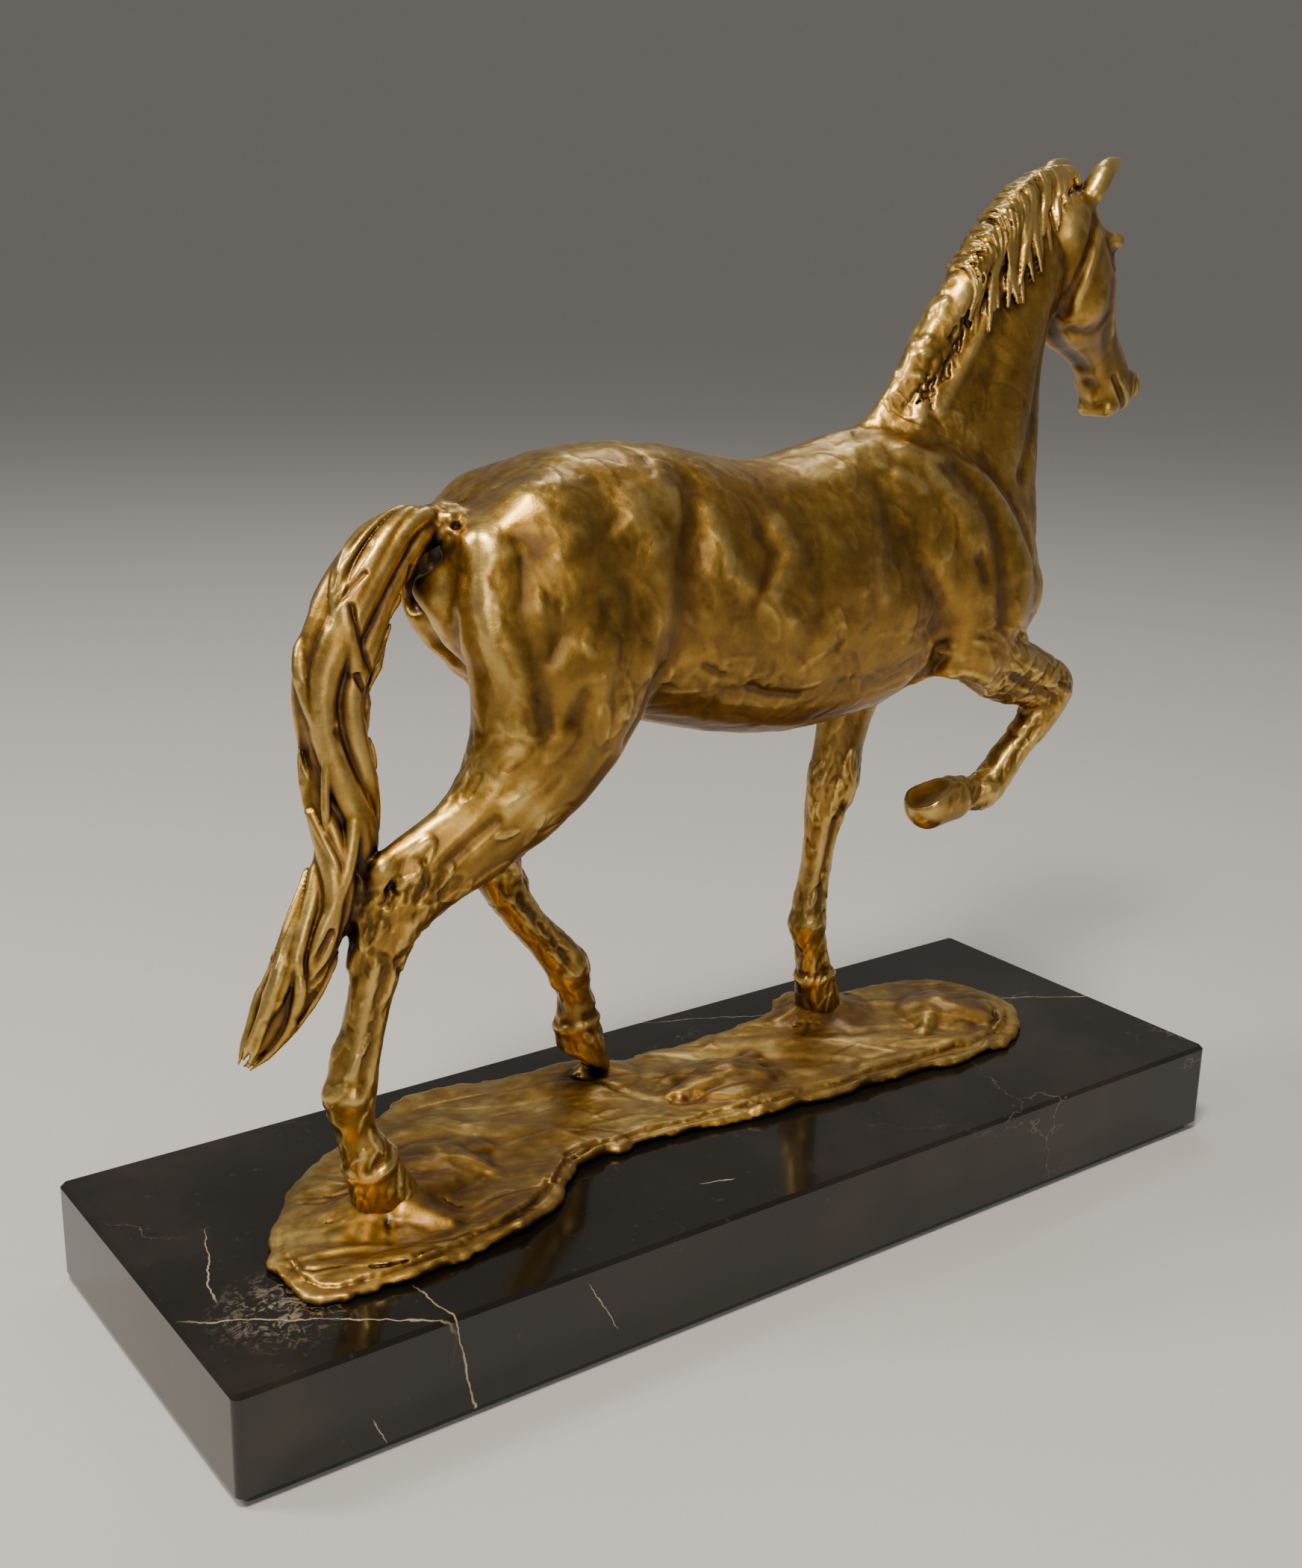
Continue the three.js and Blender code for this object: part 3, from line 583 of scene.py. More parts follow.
def marble():
    """Black marble: placed veins, a web of hairlines, crazing, brown clouds and pale specks."""
    material, tree, shader = new_material("black_marble")
    place = node(tree, "ShaderNodeTexCoord").outputs["Object"]
    offset = swirl(tree, place, 28.0, 5.0)
    crooked = vectors(tree, "MULTIPLY", swirl(tree, place, 150.0, 3.0), grey(VEIN_CROOK * MM))
    uneven = ramp(tree, noise(tree, place, 70.0, 2.0), [(0.35, grey(0.35)), (0.65, grey(1.25))])
    total = 0.0
    for centre, across, thickness, drift, reach in VEINS:
        wavy = vectors(tree, "ADD", place, vectors(tree, "MULTIPLY", offset, grey(drift * 2 * MM)))
        wavy = vectors(tree, "ADD", wavy, crooked)
        local = vectors(tree, "SUBTRACT", wavy, tuple(value * MM for value in centre))
        away = vectors(tree, "DOT_PRODUCT", local, Vector(across).normalized(), "Value")
        away = maths(tree, "DIVIDE", maths(tree, "ABSOLUTE", away), thickness * MM)
        ends = faded(tree, vectors(tree, "LENGTH", local, output="Value"), reach * MM)
        ends = maths(tree, "MULTIPLY", ends, 4.0, clamp=True)
        line = maths(tree, "MULTIPLY", faded(tree, away, uneven), ends)
        total = maths(tree, "MAXIMUM", total, line)
    pushed = vectors(tree, "ADD", place, vectors(tree, "MULTIPLY", offset, grey(WEB_DRIFT)))
    web = node(tree, "ShaderNodeTexVoronoi", {"Vector": pushed, "Scale": 13.0}, feature="DISTANCE_TO_EDGE")
    patchy = ramp(tree, noise(tree, place, 11.0, 3.0), [(0.58, grey(0.0)), (0.74, grey(0.30))])
    hair = maths(tree, "MULTIPLY", faded(tree, web.outputs["Distance"], HAIRLINE), patchy)
    # a pale cloud of fine crazing near the rear corner
    from_patch = vectors(tree, "DISTANCE", place, tuple(v * MM for v in PALE_PATCH), "Value")
    nearness = faded(tree, from_patch, PALE_PATCH_RADIUS * MM)
    crazing = ramp(tree, noise(tree, place, 190.0, 6.0, 0.7, 1.5), [(0.50, grey(0.0)), (0.60, grey(0.5))])
    hair = maths(tree, "MAXIMUM", hair, maths(tree, "MULTIPLY", crazing, nearness))
    total = maths(tree, "MAXIMUM", total, hair)
    clouds = ramp(tree, noise(tree, place, 9.0, 8.0, 0.62), [
        (0.32, (0.0045, 0.0036, 0.0026)), (0.55, (0.011, 0.009, 0.0062)), (0.78, (0.030, 0.024, 0.015))])
    specks = ramp(tree, noise(tree, place, 260.0, 2.0, 0.5), [(0.70, grey(0.0)), (0.76, grey(0.22))])
    vein_colour = ramp(tree, noise(tree, place, 40.0, 2.0), [
        (0.35, (0.55, 0.50, 0.40)), (0.65, (0.42, 0.30, 0.15))])
    base = mixed(tree, specks, clouds, (0.08, 0.07, 0.05, 1))
    polish = scaled(tree, noise(tree, place, 30.0, 4.0), 0.0, 0.10, 0.05)
    feed(tree, shader, {
        "Base Color": mixed(tree, total, base, vein_colour),
        "Roughness": maths(tree, "ADD", polish, maths(tree, "MULTIPLY", total, 0.2)),
        "IOR": 1.55,
    })
    return material


def plain_metal(name, colour, roughness, grain_scale):
    material, tree, shader = new_material(name)
    place = node(tree, "ShaderNodeTexCoord").outputs["Object"]
    grain = noise(tree, place, grain_scale, 3.0)
    darker = tuple(value * 0.7 for value in colour)
    feed(tree, shader, {
        "Base Color": ramp(tree, grain, [(0.3, darker), (0.7, colour)]),
        "Roughness": scaled(tree, grain, 0.0, 0.25, roughness - 0.12),
        "Metallic": 1.0,
        "Normal": bump(tree, 0.2, 0.0002, grain),
    })
    return material


def felt():
    material, tree, shader = new_material("felt")
    place = node(tree, "ShaderNodeTexCoord").outputs["Object"]
    fibres = noise(tree, place, 1400.0, 6.0, 0.75, 1.5)
    tufts = noise(tree, place, 160.0, 4.0)
    shade = maths(tree, "ADD", maths(tree, "MULTIPLY", fibres, 0.7), maths(tree, "MULTIPLY", tufts, 0.3))
    feed(tree, shader, {
        "Base Color": ramp(tree, shade, [(0.3, (0.010, 0.018, 0.012)), (0.7, (0.045, 0.075, 0.050))]),
        "Roughness": 0.95, "Sheen Weight": 0.4,
        "Normal": bump(tree, 0.7, 0.0005, shade),
    })
    return material


BRONZE_SKIN = bronze("bronze_gold", 0.64, (0.15, 0.085, 0.018), 0.40)
# the legs on the far side: the same bronze made darker and grey-green, painted shade with a painted cool
# reflection
BRONZE_FAR_LEGS_SHADED = bronze("bronze_dark", 0.54, (0.075, 0.062, 0.034), 0.50)
BRONZE_TAIL = bronze("bronze_tail", 0.58, (0.15, 0.075, 0.030), 0.40)
BRONZE_GROUND = bronze("bronze_ground", 0.43, (0.13, 0.062, 0.024), 0.70, dullness=0.50)

# ==== Strokes: every mark is made once, and laid into each block of clay that it touches ====

FORM_VOXEL = 1.5
FORM_ROUNDING = 2.0
MIRRORED = (-1, 1)
NUDGE = 0.01                            # one place becomes a line of this length each way
DAB_SIZES = (0.6, 1.5)
DAB_SHIFT = 0.7
DAB_RISES = (-0.8, 1.0)

form_corners = np.array([box(name) for name in HORSE])
form = Clay(form_corners[:, 0].min(axis=0) - MARGIN, form_corners[:, 1].max(axis=0) + MARGIN, FORM_VOXEL)
form.d = blurred(form.distance_to(HORSE), FORM_ROUNDING / FORM_VOXEL)
form_mesh = form.skin()
FORM_POINTS, FORM_NORMALS = form_mesh[0], normals_of(*form_mesh)

STROKES = []


def doubled(points, radii):
    """One place becomes two that nearly meet, so that it can be a chain."""
    points = np.atleast_2d(points)
    if len(points) == 1:
        return np.vstack([points, points + NUDGE]), [radii[0]] * 2
    return points, list(radii)


def brush(points, width, height, sharp=False, lie=True):
    """Raises (or, below zero, sinks) the surface by height along a line, over a width each side."""
    points, _ = doubled(curve_through(np.atleast_2d(points)), [width])
    if lie:
        points = form.onto_surface(points)
    STROKES.append(("brush", points, width, height, sharp))


def add(points, radii, blend):
    """Adds a chain of tapering capsules."""
    STROKES.append(("add", *doubled(points, radii), blend))


def carve(points, radii, blend):
    """Cuts a chain of tapering capsules away."""
    STROKES.append(("carve", *doubled(points, radii), blend))


def dabs(low, high, count, length, width, height, flow, rng, scatter=0.5):
    """Small strips of clay pressed on or scraped off, roughly along a direction."""
    low, high = at(*low), at(*high)
    inside = np.flatnonzero(((FORM_POINTS > low) & (FORM_POINTS < high)).all(axis=1))
    for spot in inside[rng.integers(0, len(inside), count)]:
        normal = FORM_NORMALS[spot]
        along = np.asarray(flow, float) + rng.normal(0, scatter, 3)
        along -= normal * (along @ normal)
        along /= max(np.linalg.norm(along), 1e-6)
        size = rng.uniform(*DAB_SIZES)
        place = FORM_POINTS[spot] + rng.uniform(-DAB_SHIFT, DAB_SHIFT, 3)
        rise = height * rng.uniform(*DAB_RISES)
        STROKES.append(("press", place, normal, along, length * size, width * size, rise))


# ==== The trunk ====

TRUNK_RELIEF = 1.5                      # how strongly the muscles are modelled

# Lines of places on the right side, repeated on the left: (places, width, height).
TRUNK_MARKS = [
    # point of the hip, the hollow behind the ribs and the fold of the flank
    ([(-32, -31, 245), (-46, -33, 240)], 9, 2.0),
    ([(-30, -34, 240)], 6, 0.8),
    ([(-17, -28, 247), (-21, -37, 232), (-25, -40, 215), (-27, -39, 196)], 8, -1.9),
    ([(-13, -34, 238), (-5, -40, 216), (19, -42, 197)], 5, 0.9),
    ([(-28, -39, 190), (-38, -36, 172), (-48, -33, 160)], 3.2, -1.3),
    # last ribs
    ([(18, -34, 231), (22, -39, 220), (12, -42, 209)], 4.5, 1.1),
    ([(9, -36, 229), (12, -40, 218), (4, -42, 206)], 4.0, -0.7),
    ([(40, -35, 226), (44, -42, 205), (36, -42, 184)], 5, 0.30),
    ([(54, -35, 226), (58, -42, 205), (50, -42, 182)], 5, 0.25),
    ([(31, -37, 222), (34, -42, 203), (26, -42, 182)], 4, -0.30),
    # shoulder blade, upper arm and the edge of the shoulder
    ([(92, -23, 254), (104, -30, 240), (118, -36, 218)], 6, 1.3),
    ([(72, -31, 243), (80, -38, 222), (92, -41, 204), (100, -39, 186)], 7, -1.2),
    ([(97, -38, 214), (112, -40, 196)], 11, 1.3),
    ([(142, -34, 206), (146, -32, 194)], 9, 1.3),
    ([(112, -31, 247), (125, -37, 230), (131, -41, 208), (134, -40, 186)], 4.5, -1.0),
    ([(126, -30, 246), (138, -35, 226), (144, -35, 206), (144, -34, 186)], 5, 0.8),
    ([(134, -28, 250), (146, -31, 232), (153, -30, 210), (154, -28, 190)], 4, -0.8),
    ([(116, -30, 178), (106, -28, 166), (98, -22, 158)], 5, -1.8),
    ([(118, -37, 176), (130, -37, 168)], 8, 1.2),
    # hindquarter: the muscle behind the thigh, its crease, and the dimpled thigh
    ([(-98, -15, 237), (-104, -28, 224), (-105, -34, 205), (-99, -38, 184), (-96, -37, 164)], 6, 1.5),
    ([(-90, -30, 232), (-93, -37, 208), (-89, -40, 188), (-86, -39, 170)], 4.6, -0.9),
    ([(-80, -41, 202)], 8, -1.3),
    ([(-66, -38, 222)], 10, 0.9),
    ([(-62, -40, 196), (-66, -40, 184)], 8, 0.8),
    ([(-46, -33, 230), (-66, -36, 233), (-86, -32, 230)], 5, -0.6),
    ([(-38, -34, 226), (-37, -38, 206), (-42, -38, 186)], 7, 0.9),
    ([(-54, -36, 214), (-56, -39, 196), (-60, -38, 178)], 5, -0.6),
    # belly
    ([(0, -33, 164), (30, -32, 157), (62, -32, 156), (90, -30, 160)], 5, 0.5),
    # neck: windpipe groove, the long muscle under the mane, base of the neck
    ([(185, -7, 306), (177, -14, 284), (168, -19, 262), (158, -24, 240)], 4.5, -1.3),
    ([(147, -8, 328), (136, -9, 314), (130, -8, 299), (117, -10, 279), (108, -13, 266)], 5, 1.1),
    ([(182, -10, 322), (168, -18, 292), (156, -24, 264), (146, -30, 244)], 8, 0.8),
    ([(160, -12, 326), (150, -15, 306), (143, -18, 286), (130, -22, 266)], 6, -0.6),
]
MIDLINE_MARKS = [
    ([(-96, 0, 248), (-70, 0, 259), (-42, 0, 263)], 4.5, -0.7),
    ([(-14, 0, 260), (20, 0, 252), (60, 0, 254), (88, 0, 264)], 4, 0.6),
    ([(-106, 0, 226), (-110, 0, 212), (-104, 0, 194), (-90, 0, 178)], 5.5, -7.0),
    ([(184, 0, 226), (182, 0, 208), (176, 0, 190), (160, 0, 168)], 4.5, -2.4),
    ([(120, 0, 154), (60, 0, 143), (0, 0, 150)], 3.5, -0.6),
]
# Only on the right side: the sculptor's own scrapes and pits.
RIGHT_MARKS = [
    ([(6, -36, 172), (18, -36, 168), (30, -36, 166)], 1.6, -0.7),
    ([(-16, -39, 182), (-8, -38, 178)], 1.6, -0.5),
    ([(-81, -41, 200), (-84, -40, 194)], 2.8, -0.7),
    ([(-62, -39, 210), (-64, -39, 203)], 4.0, -0.7),
    ([(-72, -40, 180), (-76, -40, 172)], 4.0, -0.7),
    ([(-100, -29, 222), (-102, -33, 205), (-97, -38, 188)], 1.6, -0.5),
    ([(-24, -37, 232), (-27, -38, 220)], 3.0, -0.6),
    ([(92, -40, 206), (99, -40, 196)], 3.6, -0.6),
    ([(70, -36, 228), (74, -38, 214)], 4.4, -0.6),
    ([(118, -38, 212), (121, -40, 204)], 3.6, -0.6),
    ([(104, -28, 246), (110, -30, 240)], 3.0, -0.6),
    ([(84, -30, 248), (92, -33, 240)], 3.0, 0.7),
    ([(96, -22, 256), (104, -27, 250)], 2.6, 0.7),
    ([(46, -38, 220), (52, -41, 208)], 6.0, 0.7),
    ([(62, -38, 214), (66, -40, 202)], 4.0, 0.5),
    ([(-70, -36, 234), (-78, -36, 228)], 4.5, 0.8),
    ([(-52, -35, 240), (-58, -36, 234)], 3.0, -0.6),
    ([(-90, -32, 230), (-98, -28, 228)], 4.0, 0.8),
]

# The rough weld between the trunk and the tail, and beads of it on the right side.
WELD_MIDDLE = (-101, -1, 236)
WELD_RADIUS = 8.5
WELD_BEADS = [
    ([(-104, -7.5, 238), (-98, -8.5, 236)], [2.6, 2.4]),
    ([(-101, -8.5, 233), (-99, -9, 229)], [2.2, 1.8]),
]


def sculpt_trunk(rng):
    for places, width, height in TRUNK_MARKS:
        for side in MIRRORED:
            brush([at(x, y * side, z) for x, y, z in places], width, TRUNK_RELIEF * height)
    for marks, relief in ((MIDLINE_MARKS, 1), (RIGHT_MARKS, TRUNK_RELIEF)):
        for places, width, height in marks:
            brush([at(*place) for place in places], width, relief * height)
    for places, radii in WELD_BEADS:
        add([at(*place) for place in places], radii, 1.2)
    x, y, z = WELD_MIDDLE
    for _ in range(26):
        angle = rng.uniform(0, 2 * math.pi)
        along = rng.uniform(-2, 3)
        spot = at(x + along, y + WELD_RADIUS * math.cos(angle), z + WELD_RADIUS * math.sin(angle))
        end = spot + rng.uniform(-3, 3, 3)
        brush([spot, end], rng.uniform(0.9, 1.5), rng.uniform(-0.8, 0.9), sharp=True)
    dabs((-112, -48, 168), (190, 48, 275), 520, 9, 4.0, 0.42, (0.3, 0, -1), rng)
    dabs((-112, -48, 160), (190, 48, 275), 600, 4.5, 1.8, 0.28, (0.3, 0, -1), rng)
    dabs((-60, -48, 150), (130, 48, 190), 260, 6, 1.5, 0.34, (1, 0, 0.1), rng)
    dabs((100, -30, 255), (205, 30, 345), 160, 8, 3.0, 0.18, (0.4, 0, -1), rng, scatter=0.3)


# ==== The head: (distance along the face from the poll, across, down from the face line) ====

HEAD_POLL = np.array((206.0, 7.0, 357.0))
HEAD_TURN = math.radians(17)
HEAD_PITCH = math.radians(50)
HEAD_FORWARD = np.array((
    math.cos(HEAD_TURN) * math.cos(HEAD_PITCH),
    math.sin(HEAD_TURN) * math.cos(HEAD_PITCH),
    -math.sin(HEAD_PITCH),
))
HEAD_SIDE = np.array((-math.sin(HEAD_TURN), math.cos(HEAD_TURN), 0))
HEAD_DOWN = np.cross(HEAD_SIDE, HEAD_FORWARD)


def on_head(along, across, down):
    return at(*(HEAD_POLL + along * HEAD_FORWARD + across * HEAD_SIDE + down * HEAD_DOWN))


HEAD_MARKS = [
    ([(8, 14, 12), (14, 16, 26), (22, 15, 40), (32, 12, 47)], 2.6, -1.8),       # behind the jaw
    ([(12, 17, 16), (19, 17, 30), (28, 15, 42)], 2.8, 1.0),                     # edge of the jaw
    ([(30, 16, 26), (38, 15, 32)], 7.5, 1.1),                                   # cheek
    ([(50, 14, 22), (49, 12, 32), (42, 9, 42)], 3.0, -0.9),                     # front of the cheek
    ([(36, 18, 13), (50, 15, 14.5), (66, 12, 15)], 2.2, 1.0),                   # ridge of the face
    ([(46, 12, 5), (62, 9, 5), (80, 8, 6)], 3.6, -0.6),                         # side of the nose
    ([(58, 11, 22), (72, 9, 21), (86, 9, 20)], 4.0, -0.8),                      # hollow of the cheek
    ([(14, 14, 3)], 3.4, -1.3),                                                 # above the eye
    ([(18, 16, 5), (24, 18.5, 2), (31, 18, 3)], 1.7, 0.8),                      # brow
    ([(20, 18, 11), (27, 19.5, 13), (35, 17, 12)], 1.5, -0.9),                  # under the eye
    ([(-4, 13, 16), (2, 15, 30)], 5.0, 1.0),                                    # first neck bone
]
HEAD_MIDLINE_MARKS = [
    ([(36, 0, 46), (56, 0, 36), (78, 0, 29)], 4.5, -2.8),                       # between the jaws
    ([(20, 0, -5), (50, 0, -4), (84, 0, 0)], 5.0, 0.5),                         # nose bone
    ([(88, 0, 27)], 3.6, -1.4),                                                 # behind the chin
    ([(98, 0, 27)], 4.6, 1.6),                                                  # chin
]


EAR_RADII = (4.2, 4.6, 4.6, 4.4, 4.0, 3.4, 2.7, 1.9, 1.0)
EAR_HOLLOW_RADII = (2.0, 2.6, 2.9, 2.9, 2.7, 2.4, 2.0, 1.5, 0.8)


def sculpt_head():
    for side in MIRRORED:
        for places, width, height in HEAD_MARKS:
            brush([on_head(a, b * side, c) for a, b, c in places], width, height)
        brush([on_head(29, side * 20, 9)], 4.0, -1.6)
        brush([on_head(20, side * 19, 2)], 3.0, -1.2)
        eye = form.onto_surface([on_head(25, side * 20, 5)], lift=-1.5)
        add(eye, [2.4], 1.0)
        brush([on_head(21, side * 19, 3), on_head(25, side * 20, 1.5), on_head(30, side * 19, 3)], 1.3, 0.7)
        lip = [on_head(113, side * 4, 15), on_head(106, side * 10, 17.5), on_head(97, side * 12, 19.5),
               on_head(89, side * 12, 20)]
        brush(lip, 1.3, -2.4, sharp=True)
        brush([on_head(a, b * side, c) for a, b, c in ((112, 5, 12), (104, 9, 14), (96, 11, 16))], 2.4, 1.0)
        nostril = form.onto_surface([on_head(102, side * 9, 5), on_head(107, side * 9, 8)], lift=-1.5)
        add(nostril, [3.4, 3.0], 2.0)
        opening = form.onto_surface([on_head(104, side * 11, 5.5), on_head(108, side * 10, 9)], lift=1.2)
        carve(opening, [2.1, 1.7], 1.2)
    for places, width, height in HEAD_MIDLINE_MARKS:
        brush([on_head(*place) for place in places], width, height)
    add([on_head(104, -5, 24), on_head(104, 5, 24)], [3.8, 3.8], 2.5)
    for side in MIRRORED:
        ear = [on_head(3, side * 11, 1), on_head(0.5, side * 12.5, -11), on_head(6, side * 12, -24.5)]
        add(curve_through(ear), EAR_RADII, 1.5)
        hollow = [on_head(7.5, side * 13, -2), on_head(6.0, side * 14.2, -11),
                  on_head(9.5, side * 12.6, -20)]
        carve(curve_through(hollow), EAR_HOLLOW_RADII, 0.9)


# ==== The mane ====

CREST = [
    (96, 0, 268), (108, -1, 279), (119, -1, 293), (130, -1, 309), (144, 0, 327), (161, 2, 344),
    (178, 5, 356), (196, 7, 362), (209, 9, 361),
]


def sculpt_mane(rng):
    crest = curve_through([at(*place) for place in CREST], 12)
    last = len(crest) - 1
    # the bed of the mane ends in a ridge down the side of the neck
    for side in MIRRORED:
        bed = curve_through([at(x + 8, y + side * 15, z - 11) for x, y, z in CREST[1:6]], 6)
        brush(bed, 2.4, 1.3)
        brush(bed + np.array((-4, -4 * side, 5)), 2.6, -1.1)
    # short rough hair up the neck: an uneven crest, and torn tufts beside it
    for _ in range(46):
        root = crest[int(rng.uniform(0.12, 0.60) * last)] + rng.uniform(-2.5, 2.5, 3)
        tip = root + np.array((-rng.uniform(2, 6), rng.uniform(-2, 2), -rng.uniform(3, 9)))
        add(form.onto_surface([root, tip], lift=-rng.uniform(0.9, 1.7)), [rng.uniform(1.8, 2.6), 1.4], 1.6)
    for _ in range(230):
        where = rng.uniform(0.12, 0.62)
        side = rng.choice((-1, -1, 1)) * rng.uniform(0.3, 1.0)
        start = crest[int(where * last)] + np.array((5 * abs(side), side * 11.0, -7 * abs(side)))
        end = start + np.array((rng.uniform(-4.5, 1.0), side * rng.uniform(0, 2), -rng.uniform(2.5, 7.0)))
        brush([start, end], rng.uniform(0.8, 1.5), rng.uniform(-1.7, 1.3), sharp=True)
    # long blades of hair that fall over the right side from beyond the crest, and a few on the left
    for side, number, longest in ((-1, 30, 42), (1, 18, 16)):
        for i in range(number):
            where = np.clip(0.46 + 0.49 * (i + rng.uniform(-0.3, 0.6)) / number, 0, 0.97)
            root = crest[int(where * last)]
            arch = math.sin(math.pi * min(1.0, (where - 0.37) / 0.54)) ** 0.7
            fall = longest * rng.uniform(0.6, 1.0) * arch
            back = rng.uniform(-0.30, 0.06)
            bend = rng.uniform(-0.16, 0.14)
            lift = rng.uniform(0.1, 1.5)
            wide = rng.uniform(0.9, 1.4)
            for strand in (-1.5, -0.5, 0.5, 1.5):
                drift = strand * wide
                line = [root + np.array((drift, -side * 3.0, 0.0)),
                        root + np.array((1 + drift, side * 2.5, -1.0))]
                for step in (0.35, 0.65, 0.85, 1.0):
                    shift = (back + bend * step) * fall * step + drift * (1.15 - step) ** 0.6
                    line.append(root + np.array((1.5 + shift, side * (5 + 6 * step), -fall * step)))
                line = form.onto_surface(line, lift=lift + 0.35 * (abs(strand) < 1))
                chain = curve_through(line, 3)
                add(chain, np.linspace(1.05, 0.35, len(chain)), 0.35)
    # forelock
    for _ in range(9):
        side = rng.uniform(-5, 5)
        line = [on_head(-3, side, 3), on_head(5, side * 0.9, -1),
                on_head(rng.uniform(12, 18), side * 1.1, -3)]
        line = form.onto_surface(line, lift=0.5)
        add(curve_through(line, 3), np.linspace(1.8, 0.5, 7), 0.7)


# ==== Legs: the knee or hock, the fetlock, the pastern, the top of the hoof and the sole ====

LEGS = {
    "right_hind_leg_casting": [
        (-139, -25, 106), (-156, -25, 46), (-154, -25, 31), (-149, -25, 18), (-143, -25, 0)],
    "left_hind_leg_casting": [
        (-70, 22, 101), (-34, 24, 49), (-30, 25, 36), (-29, 25, 24), (-26, 25, 8)],
    "left_foreleg_casting": [
        (103, 23, 106), (92, 23, 43), (95, 23, 29), (98, 23, 17), (101, 23, 0)],
    "right_foreleg_casting": [
        (181, -26, 148), (147, -24, 107), (138, -24, 106), (130, -24, 107), (110, -24, 109)],
}
SIDEWAYS = np.array((0.0, 1.0, 0.0))


def sculpt_leg(places, rng):
    joint, fetlock, pastern, coronet, sole = (at(*p) for p in places)
    down = (fetlock - joint) / np.linalg.norm(fetlock - joint)
    back = np.cross(SIDEWAYS, down)
    for side in MIRRORED:
        out = SIDEWAYS * side * 7
        # the tendon behind the cannon bone, and the groove between them
        groove = [joint + down * 16 + out + back * 1.5, (joint + fetlock) / 2 + out + back * 1.0,
                  fetlock - down * 8 + out + back * 1.0]
        brush(groove, 2.0, -0.8)
        brush([point + back * 4.0 for point in groove], 2.2, 0.6)
        brush([point - back * 4.5 for point in groove], 2.4, 0.4)
        # knobs of the joint and the fetlock
        brush([joint + out * 1.5 - back * 3, joint + out * 1.5 - back * 4 + down * 7], 3.2, 1.1)
        brush([joint + out * 1.5 + back * 6 - down * 3], 3.0, -0.8)
        brush([fetlock + out * 1.2 + back * 2], 3.6, 1.0)
        brush([fetlock - down * 6 + out + back * 6], 2.4, -0.6)
    brush([fetlock + back * 10 + down * 1], 3.6, 1.5)
    brush([pastern + back * 8], 3.4, -1.3)
    brush([joint - back * 10 + down * 8], 4.0, -0.7)
    # the rim of the hoof, uneven all round, and the cleft at the heel
    axis = (sole - coronet) / np.linalg.norm(sole - coronet)
    across = np.cross(SIDEWAYS, axis)
    angles = np.linspace(0, 2 * math.pi, 13)
    ring = [coronet + SIDEWAYS * 9 * math.cos(a) + across * 10 * math.sin(a) - axis * rng.uniform(-1.2, 1.2)
            for a in angles]
    for i in range(0, 12, 2):
        brush(ring[i:i + 3], 1.7, rng.uniform(0.5, 1.4))
        brush([point - axis * 3.5 for point in ring[i:i + 3]], 1.8, -rng.uniform(0.1, 0.7))
    brush([sole + across * 12 - axis * 2, coronet + across * 9 + axis * 4], 3.2, -1.2)
    brush([sole + across * 3], 5.0, -2.2)
    brush([sole - across * 1, sole + across * 9], 1.6, 1.6)
    low, high = np.min(places, axis=0) - 16, np.max(places, axis=0) + 16
    dabs(low, high, 150, 7, 2.2, 0.70, (joint - fetlock) / 50, rng, scatter=0.30)
    dabs(low, high, 190, 3.4, 1.2, 0.50, (joint - fetlock) / 50, rng, scatter=0.6)


def sculpt_hocks(rng):
    """The points of the hocks with their tendons, and the clay that joins the tail to the right one."""
    add(curve_through([at(-104, -27, 146), at(-124, -26, 135), at(-142, -25, 125)]), np.full(9, 4.8), 4.0)
    add([at(-142, -25, 125), at(-145, -25, 112)], [5.0, 5.0], 3.0)
    add(curve_through([at(-68, 24, 148), at(-75, 23, 131), at(-83, 22, 114)]), np.full(9, 4.6), 4.0)
    add([at(-83, 22, 114), at(-77, 22, 99)], [4.6, 4.6], 3.0)
    for side in MIRRORED:
        brush([at(-104, -26 + side * 11, 139), at(-120, -26 + side * 10, 128),
               at(-132, -25 + side * 9, 117)], 2.8, -1.4)
        brush([at(-92, -26 + side * 14, 150), at(-112, -26 + side * 12, 131)], 4, 0.7)
        brush([at(-80, 22 + side * 11, 134), at(-79, 22 + side * 9, 120)], 2.8, -1.2)
    add([at(-150, -20, 121), at(-149, -24, 104), at(-153, -24, 92)], [5.0, 4.2, 2.2], 2.5)
    for _ in range(44):
        start = at(rng.uniform(-158, -128), rng.uniform(-34, -18), rng.uniform(88, 132))
        brush([start, start + np.array((rng.uniform(-4, 4), 0, rng.uniform(-9, 9)))], rng.uniform(1.0, 2.2),
              rng.uniform(-1.4, 1.3))
    dabs((-150, -45, 104), (-78, -8, 172), 150, 7, 2.6, 0.65, (-1, 0, -0.6), rng, scatter=0.3)
    dabs((-100, 8, 96), (-40, 45, 160), 90, 7, 2.4, 0.5, (-0.4, 0, -1), rng, scatter=0.3)


